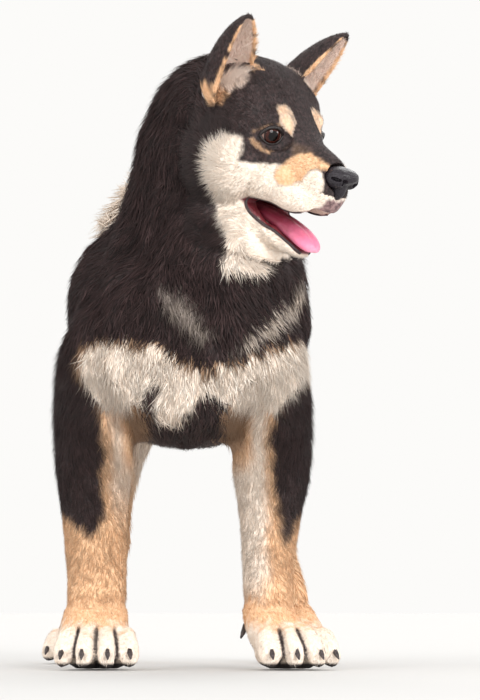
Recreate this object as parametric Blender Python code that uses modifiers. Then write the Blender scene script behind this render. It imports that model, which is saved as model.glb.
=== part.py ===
"""Young shiba inu, standing with its head turned to its left and its mouth open, at life size.

Metres, +Z up. The dog faces -Y, its left side is at +X, and its paws rest on the plane Z = 0.
The flesh is modelled whole from lofted forms, fused and smoothed, and then parted with thin cuts.
The outer surface of each solid is the outline of the coat. Long coat is built as tapered locks.
"""

import math
import random

import bmesh
import bpy
import numpy as np
from mathutils import Matrix, Vector
from mathutils.bvhtree import BVHTree

# Driving dimensions, in metres
GAP = 0.0003
HEAD_YAW = math.radians(51)
HEAD_PITCH = math.radians(22)
HEAD_ROLL = math.radians(3)
HEAD_ORIGIN = Vector((0.0794, -0.0700, 0.3841))
EYE_RADIUS = 0.0105
EYE_TURN = math.radians(24)
PAW_SPLIT_HEIGHT = 0.046
CREASE_ANGLE = math.radians(50)

# For each fused form: the voxel it is remeshed at, its smoothing steps and its triangles
HEAD_MESH = (0.0016, 6, 4500)
BODY_MESH = (0.0028, 6, 3700)
PAW_MESH = (0.0013, 4, 430)
NOSE_MESH = (0.0009, 4, 260)
EAR_MESH = (0.0011, 3, 370)

SIDES = {"left": 1, "right": -1}
X_AXIS = Vector((1, 0, 0))
Y_AXIS = Vector((0, 1, 0))
Z_AXIS = Vector((0, 0, 1))

COLOURS = {
    "coat_black": ((0.030, 0.022, 0.021), 0.75),
    "coat_tan": ((0.620, 0.340, 0.160), 0.75),
    "coat_cream": ((0.800, 0.680, 0.540), 0.75),
    "nose": ((0.020, 0.018, 0.020), 0.35),
    "eye": ((0.030, 0.015, 0.010), 0.08),
    "tongue": ((0.700, 0.200, 0.260), 0.35),
    "claw": ((0.060, 0.050, 0.050), 0.40),
}


def clear_scene():
    for obj in list(bpy.data.objects):
        bpy.data.objects.remove(obj, do_unlink=True)


def make_collection(name, hidden=False):
    made = bpy.data.collections.new(name)
    made.hide_render = hidden
    bpy.context.scene.collection.children.link(made)
    return made


def make_materials():
    made = {}
    for name, (colour, roughness) in COLOURS.items():
        material = bpy.data.materials.new(name)
        material.use_nodes = True
        shader = material.node_tree.nodes["Principled BSDF"]
        shader.inputs["Base Color"].default_value = (*colour, 1)
        shader.inputs["Roughness"].default_value = roughness
        made[name] = material
    return made


clear_scene()
DOG = make_collection("shiba_inu")
WORKSHOP = make_collection("workshop", hidden=True)
MATERIALS = make_materials()


# The head's own axes: forward along the muzzle, left, and up
def head_axes():
    forward = Vector((
        math.sin(HEAD_YAW) * math.cos(HEAD_PITCH),
        -math.cos(HEAD_YAW) * math.cos(HEAD_PITCH),
        -math.sin(HEAD_PITCH),
    ))
    left = Vector((math.cos(HEAD_YAW), math.sin(HEAD_YAW), 0))
    up = left.cross(-forward)
    roll = Matrix.Rotation(HEAD_ROLL, 3, forward)
    return forward, roll @ left, roll @ up


HEAD_FORWARD, HEAD_LEFT, HEAD_UP = head_axes()


def head_point(forward, left, up):
    """A point given along the head's own axes, from the middle between the eyes."""
    return HEAD_ORIGIN + HEAD_FORWARD * forward + HEAD_LEFT * left + HEAD_UP * up


# Tools for making and joining forms
def new_object(name, bm):
    mesh = bpy.data.meshes.new(name)
    bm.to_mesh(mesh)
    bm.free()
    obj = bpy.data.objects.new(name, mesh)
    WORKSHOP.objects.link(obj)
    return obj


def refine(rings, steps):
    """Catmull-Rom points between the named rings, so that few of them give a smooth form."""
    table = np.array([[*ring[0], *ring[1:]] for ring in rings], float)
    ends = np.vstack([2 * table[0] - table[1], table, 2 * table[-1] - table[-2]])
    out = []
    for i in range(len(table) - 1):
        a, b, c, d = ends[i : i + 4]
        for t in np.arange(steps) / steps:
            out.append(0.5 * (2 * b + (c - a) * t + (2 * a - 5 * b + 4 * c - d) * t**2
                              + (3 * b - a - 3 * c + d) * t**3))
    out.append(table[-1])
    return [(Vector(row[:3]), *row[3:]) for row in out]


def loft(name, rings, side=None, up=None, sides=24, steps=4, squareness=2.0, lead=X_AXIS):
    """A closed form through rings of (centre, half width, half height).

    With side and up given, every ring lies in their plane. Otherwise a ring faces along the path.
    """
    rings = refine(rings, steps) if steps > 1 else [(Vector(r[0]), *r[1:]) for r in rings]
    bm = bmesh.new()
    rows = []
    for i, (centre, width, height) in enumerate(rings):
        across, over = side, up
        if side is None:
            before, after = rings[max(i - 1, 0)][0], rings[min(i + 1, len(rings) - 1)][0]
            along = (after - before).normalized()
            across = (lead - along * lead.dot(along)).normalized()
            over = along.cross(across)
        row = []
        for j in range(sides):
            angle = 2 * math.pi * j / sides
            c, s = math.cos(angle), math.sin(angle)
            x = math.copysign(abs(c) ** (2 / squareness), c)
            y = math.copysign(abs(s) ** (2 / squareness), s)
            row.append(bm.verts.new(centre + across * (x * width) + over * (y * height)))
        rows.append(row)
    for low, high in zip(rows, rows[1:]):
        for j in range(sides):
            k = (j + 1) % sides
            bm.faces.new((low[j], low[k], high[k], high[j]))
    for row in (rows[0], rows[-1]):
        bm.faces.new(row)
    bmesh.ops.recalc_face_normals(bm, faces=bm.faces)
    return new_object(name, bm)


def blob(name, centre, radii, axes=(X_AXIS, Y_AXIS, Z_AXIS), segments=24):
    """An ellipsoid with the given radii along the given axes."""
    bm = bmesh.new()
    bmesh.ops.create_uvsphere(bm, u_segments=segments, v_segments=segments // 2, radius=1)
    turn = Matrix([axis * radius for axis, radius in zip(axes, radii)]).transposed().to_4x4()
    bmesh.ops.transform(bm, matrix=Matrix.Translation(centre) @ turn, verts=bm.verts)
    bmesh.ops.recalc_face_normals(bm, faces=bm.faces)
    return new_object(name, bm)


def head_blob(name, at, radii):
    return blob(name, head_point(*at), radii, (HEAD_FORWARD, HEAD_LEFT, HEAD_UP))


def evaluated_mesh(obj):
    graph = bpy.context.evaluated_depsgraph_get()
    return bpy.data.meshes.new_from_object(obj.evaluated_get(graph), depsgraph=graph)


def settle(obj):
    """Applies the modifiers of obj."""
    bpy.context.view_layer.update()
    mesh = evaluated_mesh(obj)
    obj.modifiers.clear()
    obj.data = mesh
    return obj


def copy_of(obj, name):
    twin = bpy.data.objects.new(name, obj.data.copy())
    WORKSHOP.objects.link(twin)
    return twin


def discard(*objs):
    for obj in objs:
        bpy.data.objects.remove(obj, do_unlink=True)


def fuse(name, pieces, voxel, smoothing, triangles):
    """One smooth closed skin round all the pieces, of about the given number of triangles."""
    bm = bmesh.new()
    for piece in pieces:
        bm.from_mesh(piece.data)
    obj = new_object(name, bm)
    remesh = obj.modifiers.new("Remesh", "REMESH")
    remesh.mode = "VOXEL"
    remesh.voxel_size = voxel
    smooth = obj.modifiers.new("Smooth", "SMOOTH")
    smooth.factor = 0.5
    smooth.iterations = smoothing
    settle(obj)
    discard(*pieces)
    keep_largest(obj)
    faces = 2 * len(obj.data.polygons)
    decimate = obj.modifiers.new("Decimate", "DECIMATE")
    decimate.ratio = min(1.0, triangles / faces)
    decimate.use_collapse_triangulate = True
    return settle(obj)


def keep_largest(obj):
    """Keeps only the largest closed surface of obj, measured by its box."""
    bm = bmesh.new()
    bm.from_mesh(obj.data)
    bmesh.ops.remove_doubles(bm, verts=bm.verts, dist=1e-6)
    bm.verts.ensure_lookup_table()
    seen, shells = set(), []
    for start in bm.verts:
        if start.index in seen:
            continue
        shell, stack = [], [start]
        seen.add(start.index)
        while stack:
            vert = stack.pop()
            shell.append(vert)
            for edge in vert.link_edges:
                other = edge.other_vert(vert)
                if other.index not in seen:
                    seen.add(other.index)
                    stack.append(other)
        shells.append(shell)

    def span(shell):
        points = np.array([v.co for v in shell])
        return float(np.prod(points.max(0) - points.min(0) + 1e-9))

    shells.sort(key=span, reverse=True)
    for shell in shells[1:]:
        bmesh.ops.delete(bm, geom=shell, context="VERTS")
    bm.to_mesh(obj.data)
    bm.free()
    return obj


def boolean(obj, operands, operation):
    """Applies one Boolean of obj with all the operands, and removes them.

    Every form here is closed, as the MANIFOLD solver needs. EXACT drops most of a foreleg.
    """
    tools = bpy.data.collections.new("tools")
    WORKSHOP.children.link(tools)
    for operand in operands:
        tools.objects.link(operand)
    modifier = obj.modifiers.new("Boolean", "BOOLEAN")
    modifier.operation = operation
    modifier.operand_type = "COLLECTION"
    modifier.collection = tools
    modifier.solver = "MANIFOLD"
    settle(obj)
    discard(*operands)
    bpy.data.collections.remove(tools)
    return obj


def clip(obj, point, normal):
    """Cuts obj at a plane and keeps what lies behind it, closed with a flat face."""
    bm = bmesh.new()
    bm.from_mesh(obj.data)
    geometry = bm.verts[:] + bm.edges[:] + bm.faces[:]
    bmesh.ops.bisect_plane(bm, geom=geometry, dist=1e-7, plane_co=point, plane_no=normal, clear_outer=True)
    rim = [edge for edge in bm.edges if edge.is_boundary]
    filled = bmesh.ops.holes_fill(bm, edges=rim, sides=0)
    bmesh.ops.triangulate(bm, faces=filled["faces"])
    bmesh.ops.recalc_face_normals(bm, faces=bm.faces)
    bm.to_mesh(obj.data)
    bm.free()
    return obj


def swollen(obj, by):
    """A copy of obj with its surface moved out along the normals."""
    twin = copy_of(obj, obj.name + "_swollen")
    bm = bmesh.new()
    bm.from_mesh(twin.data)
    bm.normal_update()
    moves = [(vert, vert.normal * by) for vert in bm.verts]
    for vert, move in moves:
        vert.co += move
    bm.to_mesh(twin.data)
    bm.free()
    return twin


def clear_of(obj, others, by=2 * GAP):
    """Cuts obj back so that it meets the others face to face, with a small gap."""
    boolean(obj, [swollen(other, by) for other in others], "DIFFERENCE")
    return keep_largest(obj)


def plate(name, outline, origin, across, over, low, high):
    """A flat outline, given along two axes, extruded along the third from low to high."""
    normal = across.cross(over)
    curve = bpy.data.curves.new(name, "CURVE")
    curve.dimensions = "2D"
    curve.fill_mode = "BOTH"
    curve.extrude = (high - low) / 2
    spline = curve.splines.new("POLY")
    spline.points.add(len(outline) - 1)
    for point, (x, y) in zip(spline.points, outline):
        point.co = (x, y, 0, 1)
    spline.use_cyclic_u = True
    drawn = bpy.data.objects.new(name, curve)
    WORKSHOP.objects.link(drawn)
    frame = Matrix([across, over, normal]).transposed().to_4x4()
    frame.translation = origin + normal * (low + high) / 2
    bpy.context.view_layer.update()
    mesh = evaluated_mesh(drawn)
    discard(drawn)
    bm = bmesh.new()
    bm.from_mesh(mesh)
    bmesh.ops.remove_doubles(bm, verts=bm.verts, dist=1e-6)
    bmesh.ops.transform(bm, matrix=frame, verts=bm.verts)
    bmesh.ops.recalc_face_normals(bm, faces=bm.faces)
    return new_object(name, bm)


def inset(outline, by):
    """The outline with every edge moved inwards."""
    points = np.array(outline, float)
    turn = sum(points[i - 1][0] * points[i][1] - points[i][0] * points[i - 1][1] for i in range(len(points)))
    moved = []
    for i in range(len(points)):
        a, b, c = points[i - 1], points[i], points[(i + 1) % len(points)]
        lines = []
        for p, q in ((a, b), (b, c)):
            along = (q - p) / np.linalg.norm(q - p)
            inward = np.array([-along[1], along[0]]) * math.copysign(1, turn)
            lines.append((p + inward * by, along))
        (p, u), (q, v) = lines
        step = np.linalg.solve(np.array([u, -v]).T, q - p)[0]
        moved.append(tuple(p + u * step))
    return moved


def node(name, obj, material):
    """Names a finished solid and moves it to the dog's collection."""
    obj.name = name
    obj.data.name = name
    obj.data.materials.clear()
    obj.data.materials.append(MATERIALS[material])
    WORKSHOP.objects.unlink(obj)
    DOG.objects.link(obj)
    obj.data.shade_smooth()
    obj.data.set_sharp_from_angle(angle=CREASE_ANGLE)
    return obj


# Head: cranium and muzzle in one loft, with cheeks, brows, lips and an open jaw
SKULL_RINGS = [
    # Forward, up, half width, half height: from the back of the skull to the muzzle's end
    (-0.121, -0.022, 0.0300, 0.0280),
    (-0.109, -0.012, 0.0415, 0.0365),
    (-0.095, -0.002, 0.0462, 0.0395),
    (-0.080, 0.004, 0.0490, 0.0410),
    (-0.062, 0.0075, 0.0492, 0.0400),
    (-0.042, 0.008, 0.0485, 0.0395),
    (-0.024, 0.006, 0.0445, 0.0370),
    (-0.008, 0.000, 0.0365, 0.0315),
    (0.006, -0.009, 0.0275, 0.0255),
    (0.018, -0.0165, 0.0212, 0.0215),
    (0.030, -0.0195, 0.0180, 0.0200),
    (0.042, -0.0225, 0.0170, 0.0190),
    (0.0500, -0.0262, 0.0150, 0.0168),
    (0.0550, -0.0272, 0.0105, 0.0115),
]
JAW_RINGS = [
    # forward, up, half width, half height: from the throat to the chin
    (-0.040, -0.056, 0.038, 0.024),
    (-0.022, -0.060, 0.032, 0.021),
    (-0.006, -0.0655, 0.025, 0.0155),
    (0.008, -0.0700, 0.0195, 0.0115),
    (0.020, -0.0740, 0.0165, 0.0095),
    (0.030, -0.0760, 0.0135, 0.0075),
    (0.0370, -0.0765, 0.0100, 0.0060),
    (0.0405, -0.0765, 0.0055, 0.0032),
]
LIP_RINGS = [
    # forward, up, half width, half height: the upper lip, from the mouth's corner to the front
    (-0.012, -0.0370, 0.0300, 0.0150),
    (0.004, -0.0375, 0.0262, 0.0132),
    (0.020, -0.0388, 0.0222, 0.0150),
    (0.034, -0.0390, 0.0190, 0.0146),
    (0.0450, -0.0375, 0.0150, 0.0130),
    (0.0500, -0.0375, 0.0105, 0.0098),
    (0.0530, -0.0385, 0.0055, 0.0062),
]


def head_rings(rings):
    return [(head_point(forward, 0, up), width, height) for forward, up, width, height in rings]


def head_forms():
    """The closed forms that make up the head, jaw and throat."""
    forms = [
        loft("skull", head_rings(SKULL_RINGS), HEAD_LEFT, HEAD_UP, squareness=2.15),
        loft("mandible", head_rings(JAW_RINGS), HEAD_LEFT, HEAD_UP, squareness=2.2),
        loft("lips", head_rings(LIP_RINGS), HEAD_LEFT, HEAD_UP, squareness=2.3),
        head_blob("throat", (-0.040, 0, -0.050), (0.040, 0.040, 0.036)),
    ]
    for side in (1, -1):
        forms += [
            head_blob("cheek", (-0.038, side * 0.029, -0.026), (0.040, 0.0265, 0.038)),
            head_blob("jowl", (-0.010, side * 0.0190, -0.030), (0.034, 0.0170, 0.0215)),
            head_blob("temple", (-0.040, side * 0.027, 0.010), (0.034, 0.0225, 0.028)),
            head_blob("brow", (-0.0085, side * 0.0195, 0.0125), (0.0140, 0.0120, 0.0085)),
            head_blob("cheekbone", (-0.0100, side * 0.0265, -0.0130), (0.0190, 0.0110, 0.0100)),
        ]
    return forms


# Neck: from between the shoulders to the back of the skull, with the depth of its ruff
NECK_RINGS = [
    (Vector((0.001, 0.050, 0.235)), 0.090, 0.080),
    (Vector((0.0025, 0.032, 0.270)), 0.0965, 0.074),
    (Vector((0.0085, 0.018, 0.302)), 0.0850, 0.066),
    (Vector((0.010, 0.006, 0.332)), 0.0640, 0.060),
    (Vector((0.015, -0.006, 0.362)), 0.0585, 0.0555),
    (Vector((0.019, -0.016, 0.390)), 0.0575, 0.0510),
    (Vector((0.0215, -0.022, 0.408)), 0.0500, 0.0430),
    (Vector((0.0240, -0.026, 0.422)), 0.0380, 0.0330),
]
THROAT_RINGS = [
    (Vector((0.037, -0.036, 0.352)), 0.036, 0.034),
    (Vector((0.034, -0.036, 0.325)), 0.045, 0.036),
    (Vector((0.026, -0.031, 0.295)), 0.056, 0.041),
    (Vector((0.014, -0.024, 0.260)), 0.062, 0.045),
    (Vector((0.004, -0.016, 0.225)), 0.060, 0.044),
]

# Torso: from the forechest to the rump
TORSO_RINGS = [
    # along Y, height of the middle, half width, half height
    (-0.072, 0.236, 0.026, 0.032),
    (-0.062, 0.234, 0.052, 0.052),
    (-0.040, 0.236, 0.074, 0.068),
    (-0.005, 0.240, 0.087, 0.076),
    (0.040, 0.243, 0.091, 0.079),
    (0.090, 0.245, 0.089, 0.077),
    (0.140, 0.248, 0.081, 0.067),
    (0.180, 0.252, 0.073, 0.059),
    (0.215, 0.255, 0.068, 0.053),
    (0.245, 0.257, 0.057, 0.045),
    (0.262, 0.258, 0.036, 0.030),
]


def neck_forms():
    return [loft("neck", NECK_RINGS, sides=32), loft("throat", THROAT_RINGS)]


def torso_form():
    rings = [(Vector((0, y, z)), width, height) for y, z, width, height in TORSO_RINGS]
    return loft("torso", rings, X_AXIS, Z_AXIS, squareness=2.1, sides=32)


# Legs: rings of (x, y, height, half width, half depth) for the dog's left side
FRONT_LEG_RINGS = [
    (0.050, -0.004, 0.262, 0.032, 0.044),
    (0.0575, -0.003, 0.235, 0.0365, 0.050),
    (0.0625, 0.000, 0.200, 0.0350, 0.044),
    (0.0650, 0.004, 0.170, 0.0320, 0.037),
    (0.0660, 0.005, 0.143, 0.0290, 0.030),
    (0.0655, 0.004, 0.121, 0.0260, 0.026),
    (0.0640, 0.003, 0.092, 0.0238, 0.0235),
    (0.0632, 0.002, 0.066, 0.0225, 0.0235),
    (0.0635, -0.003, 0.044, 0.0235, 0.0250),
    (0.0660, -0.010, 0.026, 0.0250, 0.0260),
    (0.0665, -0.014, 0.012, 0.0200, 0.0220),
]
HIND_LEG_RINGS = [
    (0.036, 0.215, 0.282, 0.026, 0.030),
    (0.044, 0.208, 0.255, 0.033, 0.050),
    (0.051, 0.200, 0.220, 0.0345, 0.058),
    (0.0570, 0.195, 0.185, 0.0310, 0.054),
    (0.0640, 0.199, 0.155, 0.0250, 0.044),
    (0.0675, 0.214, 0.126, 0.0200, 0.0310),
    (0.0675, 0.234, 0.102, 0.0185, 0.0230),
    (0.0700, 0.243, 0.086, 0.0180, 0.0210),
    (0.0775, 0.240, 0.066, 0.0170, 0.0175),
    (0.0835, 0.232, 0.044, 0.0180, 0.0180),
    (0.0900, 0.222, 0.026, 0.0200, 0.0220),
    (0.0925, 0.216, 0.012, 0.0160, 0.0190),
]
# Each paw: the centre of its knuckles on the floor, the turn of its toes outwards, and its size
PAWS = {
    "front_left": (Vector((0.0770, -0.018, 0)), math.radians(20), 1.0),
    "front_right": (Vector((-0.0640, -0.018, 0)), math.radians(0), 1.0),
    "hind_left": (Vector((0.0900, 0.207, 0)), math.radians(8), 0.90),
    "hind_right": (Vector((-0.0895, 0.207, 0)), math.radians(8), 0.90),
}
# How wide each leg is, above and below its elbow or knee
LEG_WIDTHS = {
    "front_left": (1.05, 0.92),
    "front_right": (1.03, 1.07),
    "hind_left": (1.0, 1.0),
    "hind_right": (1.0, 1.0),
}
LEG_SHIFTS = {"front_left": -0.0026, "front_right": 0.0024, "hind_left": 0.0, "hind_right": 0.0}


def leg_form(place):
    rings = FRONT_LEG_RINGS if place.startswith("front") else HIND_LEG_RINGS
    side = SIDES[place.split("_")[1]]
    paw = PAWS[place][0]
    out = []
    for x, y, z, width, depth in rings:
        low = max(0.0, 1 - z / PAW_SPLIT_HEIGHT)
        across = side * (x + LEG_SHIFTS[place])
        upper, lower = LEG_WIDTHS[place]
        share = min(1.0, max(0.0, (z - 0.08) / 0.06))
        width *= lower + (upper - lower) * share
        out.append((Vector((across + (paw.x - across) * low * 0.55, y, z)), width, depth))
    return loft("leg_" + place, out, X_AXIS, Y_AXIS)


# Paws: four toes round a pad, each toe an arched loft with its claw at the tip
TOES = [
    # across, forward, turn outwards, length, half width: from the inner toe to the outer one
    (-0.0205, 0.006, math.radians(-8), 0.030, 0.0088),
    (-0.0075, 0.014, math.radians(-3), 0.032, 0.0090),
    (0.0075, 0.014, math.radians(3), 0.032, 0.0090),
    (0.0205, 0.005, math.radians(8), 0.030, 0.0088),
]
TOE_PROFILE = [
    # share of the length, height, half width share, half height
    (0.00, 0.0190, 0.70, 0.0120),
    (0.28, 0.0200, 0.95, 0.0135),
    (0.55, 0.0165, 1.00, 0.0130),
    (0.80, 0.0120, 0.98, 0.0108),
    (0.96, 0.0095, 0.78, 0.0080),
    (1.03, 0.0090, 0.40, 0.0045),
]
CLAW_LENGTH = 0.0095
# How a claw goes: share of its length, drop and half thickness
CLAW_PROFILE = [(0, 0, 0.0026), (0.35, 0.0008, 0.0025), (0.7, 0.0030, 0.0019), (1.0, 0.0062, 0.0007)]
# Dewclaws, on the dog's left side: root and tip
DEWCLAW_ROOT = Vector((0.0462, 0.004, 0.0360))
DEWCLAW_TIP = Vector((0.0405, -0.003, 0.0225))


def paw_axes(place):
    centre, turn, size = PAWS[place]
    side = SIDES[place.split("_")[1]]
    ahead = Vector((side * math.sin(turn), -math.cos(turn), 0))
    out = Vector((side * math.cos(turn), math.sin(turn), 0))
    return centre, ahead, out, size


def toe_axes(place, toe):
    centre, ahead, out, size = paw_axes(place)
    across, forward, turn, length, width = TOES[toe]
    ahead_toe = ahead * math.cos(turn) + out * math.sin(turn)
    out_toe = out * math.cos(turn) - ahead * math.sin(turn)
    root = centre + out * (across * size) + ahead * ((forward - 0.010) * size)
    return root, ahead_toe, out_toe, length * size, width * size, size


def paw_forms(place):
    centre, ahead, out, size = paw_axes(place)
    forms = [
        blob("pad", centre + Vector((0, 0, 0.012 * size)) - ahead * 0.004 * size,
             (0.0265 * size, 0.025 * size, 0.015 * size), (out, ahead, Z_AXIS)),
        blob("knuckles", centre + Vector((0, 0, 0.0225 * size)) - ahead * 0.002 * size,
             (0.0250 * size, 0.021 * size, 0.0145 * size), (out, ahead, Z_AXIS)),
    ]
    for toe in range(len(TOES)):
        root, ahead_toe, out_toe, length, width, size = toe_axes(place, toe)
        rings = [
            (root + ahead_toe * (share * length) + Z_AXIS * (height * size), width * wide, high * size)
            for share, height, wide, high in TOE_PROFILE
        ]
        forms.append(loft("toe", rings, out_toe, Z_AXIS, sides=16))
    return forms


def claw(place, toe):
    """One claw, rooted in the toe's end and curving down to its point."""
    root, ahead_toe, out_toe, length, width, size = toe_axes(place, toe)
    base = root + ahead_toe * (length * 0.88) + Z_AXIS * (0.0145 * size)
    rings = []
    for share, drop, thick in CLAW_PROFILE:
        centre = base + ahead_toe * (share * CLAW_LENGTH * size) - Z_AXIS * (drop * size)
        rings.append((centre, thick * size, thick * 1.2 * size))
    return loft("claw", rings, out_toe, Z_AXIS, sides=6, steps=1)


def dewclaw(side):
    """The small claw on the inner side of a front leg."""
    rings = []
    for share, drop, thick in CLAW_PROFILE:
        centre = DEWCLAW_ROOT.lerp(DEWCLAW_TIP, share)
        rings.append((Vector((side * centre.x, centre.y, centre.z)), thick, thick * 1.1))
    return loft("dewclaw", rings, sides=6, steps=1)


# Ears: each one a deep cup that opens forwards, with a rounded tip
EAR_BASE = (-0.047, 0.0380, 0.026)
EAR_TIP = (-0.0300, 0.0575, 0.0785)
EAR_HALF_WIDTH = 0.0205
EAR_DEPTH = 0.0205
EAR_WRAP = math.radians(98)
EAR_THICKNESS = 0.0036
EAR_ROOT = -0.36
EAR_ROOT_TAPER = 1.5
EAR_FORWARD = 0.32
EAR_OUTWARDS = 0.22
EAR_TIP_HALF_WIDTH = 0.0022


def ear(side):
    """The ear's skin as a bent grid, thickened."""
    base = head_point(EAR_BASE[0], side * EAR_BASE[1], EAR_BASE[2])
    tip = head_point(EAR_TIP[0], side * EAR_TIP[1], EAR_TIP[2])
    rise = tip - base
    way = rise.normalized()
    open_way = HEAD_FORWARD + HEAD_LEFT * (side * EAR_OUTWARDS)
    open_way = (open_way - way * open_way.dot(way)).normalized()
    across = way.cross(open_way)
    bm = bmesh.new()
    bmesh.ops.create_grid(bm, x_segments=14, y_segments=18, size=1)
    for vert in bm.verts:
        angle = vert.co.x * EAR_WRAP
        share = EAR_ROOT + (1 - EAR_ROOT) * (vert.co.y + 1) / 2
        taper = (1 - max(share, 0) ** 1.9) ** 0.72 * (1 + EAR_ROOT_TAPER * min(share, 0))
        width = (EAR_HALF_WIDTH - EAR_TIP_HALF_WIDTH) * taper + EAR_TIP_HALF_WIDTH
        depth = EAR_DEPTH * taper
        back = math.cos(angle) * depth - EAR_DEPTH * EAR_FORWARD
        vert.co = base + rise * share + across * (math.sin(angle) * width) - open_way * back
    obj = new_object("ear", bm)
    solid = obj.modifiers.new("Solidify", "SOLIDIFY")
    solid.thickness = EAR_THICKNESS
    solid.offset = 0
    solid.use_even_offset = False
    settle(obj)
    return fuse("ear", [obj], *EAR_MESH)


# Eyes: balls behind lids with an almond opening, which narrows towards its corners
EYE_CENTRE = (-0.0062, 0.0233, -0.0010)
LID_THICKNESS = 0.0014
EYE_OPENING = (0.0170, 0.0116)
# The hollow round the lids: its middle in front of the eye's pole, and its half sizes
ORBIT_AHEAD = 0.0045
ORBIT = (0.0138, 0.0108, 0.0070)
EYE_SLANT = math.radians(9)
EYE_OUTLINE_POINTS = 20
EYE_CORNER_SHARPNESS = 0.45


def eye_axes(side):
    """The way the eye looks, and the width and height of its opening."""
    look = HEAD_FORWARD * math.cos(EYE_TURN) + HEAD_LEFT * (side * math.sin(EYE_TURN))
    across = (HEAD_LEFT * side - look * (HEAD_LEFT * side).dot(look)).normalized()
    across = Matrix.Rotation(-side * EYE_SLANT, 3, look) @ across
    return look, across, look.cross(across) * side


def eye_centre(side):
    forward, left, up = EYE_CENTRE
    return head_point(forward, side * left, up)


def eye_ball(side, radius):
    look, across, over = eye_axes(side)
    centre = eye_centre(side)
    return blob("eye", centre, (radius, radius, radius), (across, over, look), segments=14)


def orbit(side):
    look, across, over = eye_axes(side)
    centre = eye_centre(side) + look * (EYE_RADIUS + ORBIT_AHEAD)
    return blob("orbit", centre, ORBIT, (across, over, look), segments=20)


def eye_opening(side):
    """A prism along the eye's look, with the almond outline between the lids."""
    look, across, _ = eye_axes(side)
    width, height = EYE_OPENING
    outline = []
    for i in range(EYE_OUTLINE_POINTS):
        angle = 2 * math.pi * i / EYE_OUTLINE_POINTS
        narrowing = 1 - math.cos(angle) ** 4 * EYE_CORNER_SHARPNESS
        outline.append((math.cos(angle) * width / 2, math.sin(angle) * height / 2 * narrowing))
    low, high = EYE_RADIUS * 0.15, EYE_RADIUS * 2.4
    return plate("eye_opening", outline, eye_centre(side), across, look.cross(across), low, high)


# Mouth: side views in the head's forward and up axes
LIPS_OPENING = [
    (-0.0090, -0.0512), (0.0040, -0.0482), (0.0120, -0.0505), (0.0200, -0.0528), (0.0330, -0.0518),
    (0.0470, -0.0478), (0.0750, -0.0485), (0.0750, -0.0900), (0.0600, -0.0810), (0.0360, -0.0720),
    (0.0220, -0.0685), (0.0120, -0.0650), (-0.0010, -0.0580),
]
MOUTH_CAVITY = [
    (-0.0240, -0.0490), (-0.0050, -0.0420), (0.0250, -0.0400), (0.0440, -0.0400), (0.0480, -0.0440),
    (0.0750, -0.0480), (0.0750, -0.0900), (0.0500, -0.0830), (0.0435, -0.0752), (0.0380, -0.0722),
    (0.0300, -0.0678), (0.0200, -0.0640), (0.0080, -0.0635), (-0.0100, -0.0620), (-0.0240, -0.0590),
]
MOUTH_CAVITY_HALF_WIDTH = 0.0128
JAW_REGION = [(-0.0050, -0.0520), (0.0900, -0.0560), (0.0900, -0.0930), (-0.0080, -0.0860)]
HEAD_REACH = 0.15


def head_plate(name, outline, low=-HEAD_REACH, high=HEAD_REACH):
    """A side view of the head, extruded from low to high across it."""
    return plate(name, outline, HEAD_ORIGIN, HEAD_FORWARD, HEAD_UP, low, high)


# Tongue: a flat strap that lies along the jaw and over its front
TONGUE_RINGS = [
    (-0.021, -0.0555, 0.0085, 0.0032),
    (-0.006, -0.0580, 0.0112, 0.0040),
    (0.008, -0.0592, 0.0118, 0.0040),
    (0.020, -0.0602, 0.0116, 0.0038),
    (0.030, -0.0640, 0.0112, 0.0034),
    (0.0370, -0.0682, 0.0100, 0.0029),
    (0.0415, -0.0713, 0.0078, 0.0023),
    (0.0437, -0.0732, 0.0045, 0.0015),
]
# Nose: pad, wings and philtrum, with a round nostril and a slit beside it on each side
NOSTRIL_AT = (0.0605, 0.0066, -0.0180)
NOSTRIL_RADII = (0.0052, 0.0025, 0.0028)
SLIT_AT = (0.0560, 0.0112, -0.0168)
SLIT_RADII = (0.0052, 0.0040, 0.0013)


def nose_forms():
    forms = [
        head_blob("nose_pad", (0.0520, 0, -0.0138), (0.0122, 0.0118, 0.0070)),
        head_blob("philtrum", (0.0500, 0, -0.0240), (0.0078, 0.0050, 0.0090)),
    ]
    for side in (1, -1):
        forms.append(head_blob("nose_wing", (0.0515, side * 0.0070, -0.0172), (0.0098, 0.0056, 0.0068)))
    return forms


def nostrils():
    holes = []
    for side in (1, -1):
        for (forward, left, up), radii in ((NOSTRIL_AT, NOSTRIL_RADII), (SLIT_AT, SLIT_RADII)):
            at = head_point(forward, side * left, up)
            holes.append(blob("nostril", at, radii, (HEAD_FORWARD, HEAD_LEFT, HEAD_UP), 8))
    return holes


# Where the body is parted: side views of the head and the legs, and the plane at the neck's foot
HEAD_REGION = [
    (-0.082, 0.120), (-0.070, 0.040), (-0.052, -0.060), (-0.022, -0.090), (0.120, -0.100), (0.120, 0.120),
]
NECK_FOOT = (Vector((0, 0.045, 0.322)), Vector((0, -0.555, 0.832)))
LEG_REACH = 0.2
FRONT_LEG_REGION = [
    (-0.060, 0.150), (-0.055, 0.215), (-0.020, 0.250), (0.030, 0.238), (0.052, 0.190), (0.052, -0.02),
    (-0.080, -0.02), (-0.080, 0.150),
]
HIND_LEG_REGION = [
    (0.120, 0.150), (0.125, 0.210), (0.160, 0.262), (0.215, 0.272), (0.260, 0.240), (0.300, 0.160),
    (0.300, -0.02), (0.120, -0.02),
]
LEG_REGION_INSIDE = {"front": 0.027, "hind": 0.017}


def halves(obj, point, normal):
    """Parts obj at a plane, and leaves half a gap on either side of it."""
    other = copy_of(obj, obj.name + "_other")
    clip(obj, point - normal * (GAP / 2), normal)
    clip(other, point + normal * (GAP / 2), -normal)
    return keep_largest(obj), keep_largest(other)


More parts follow.
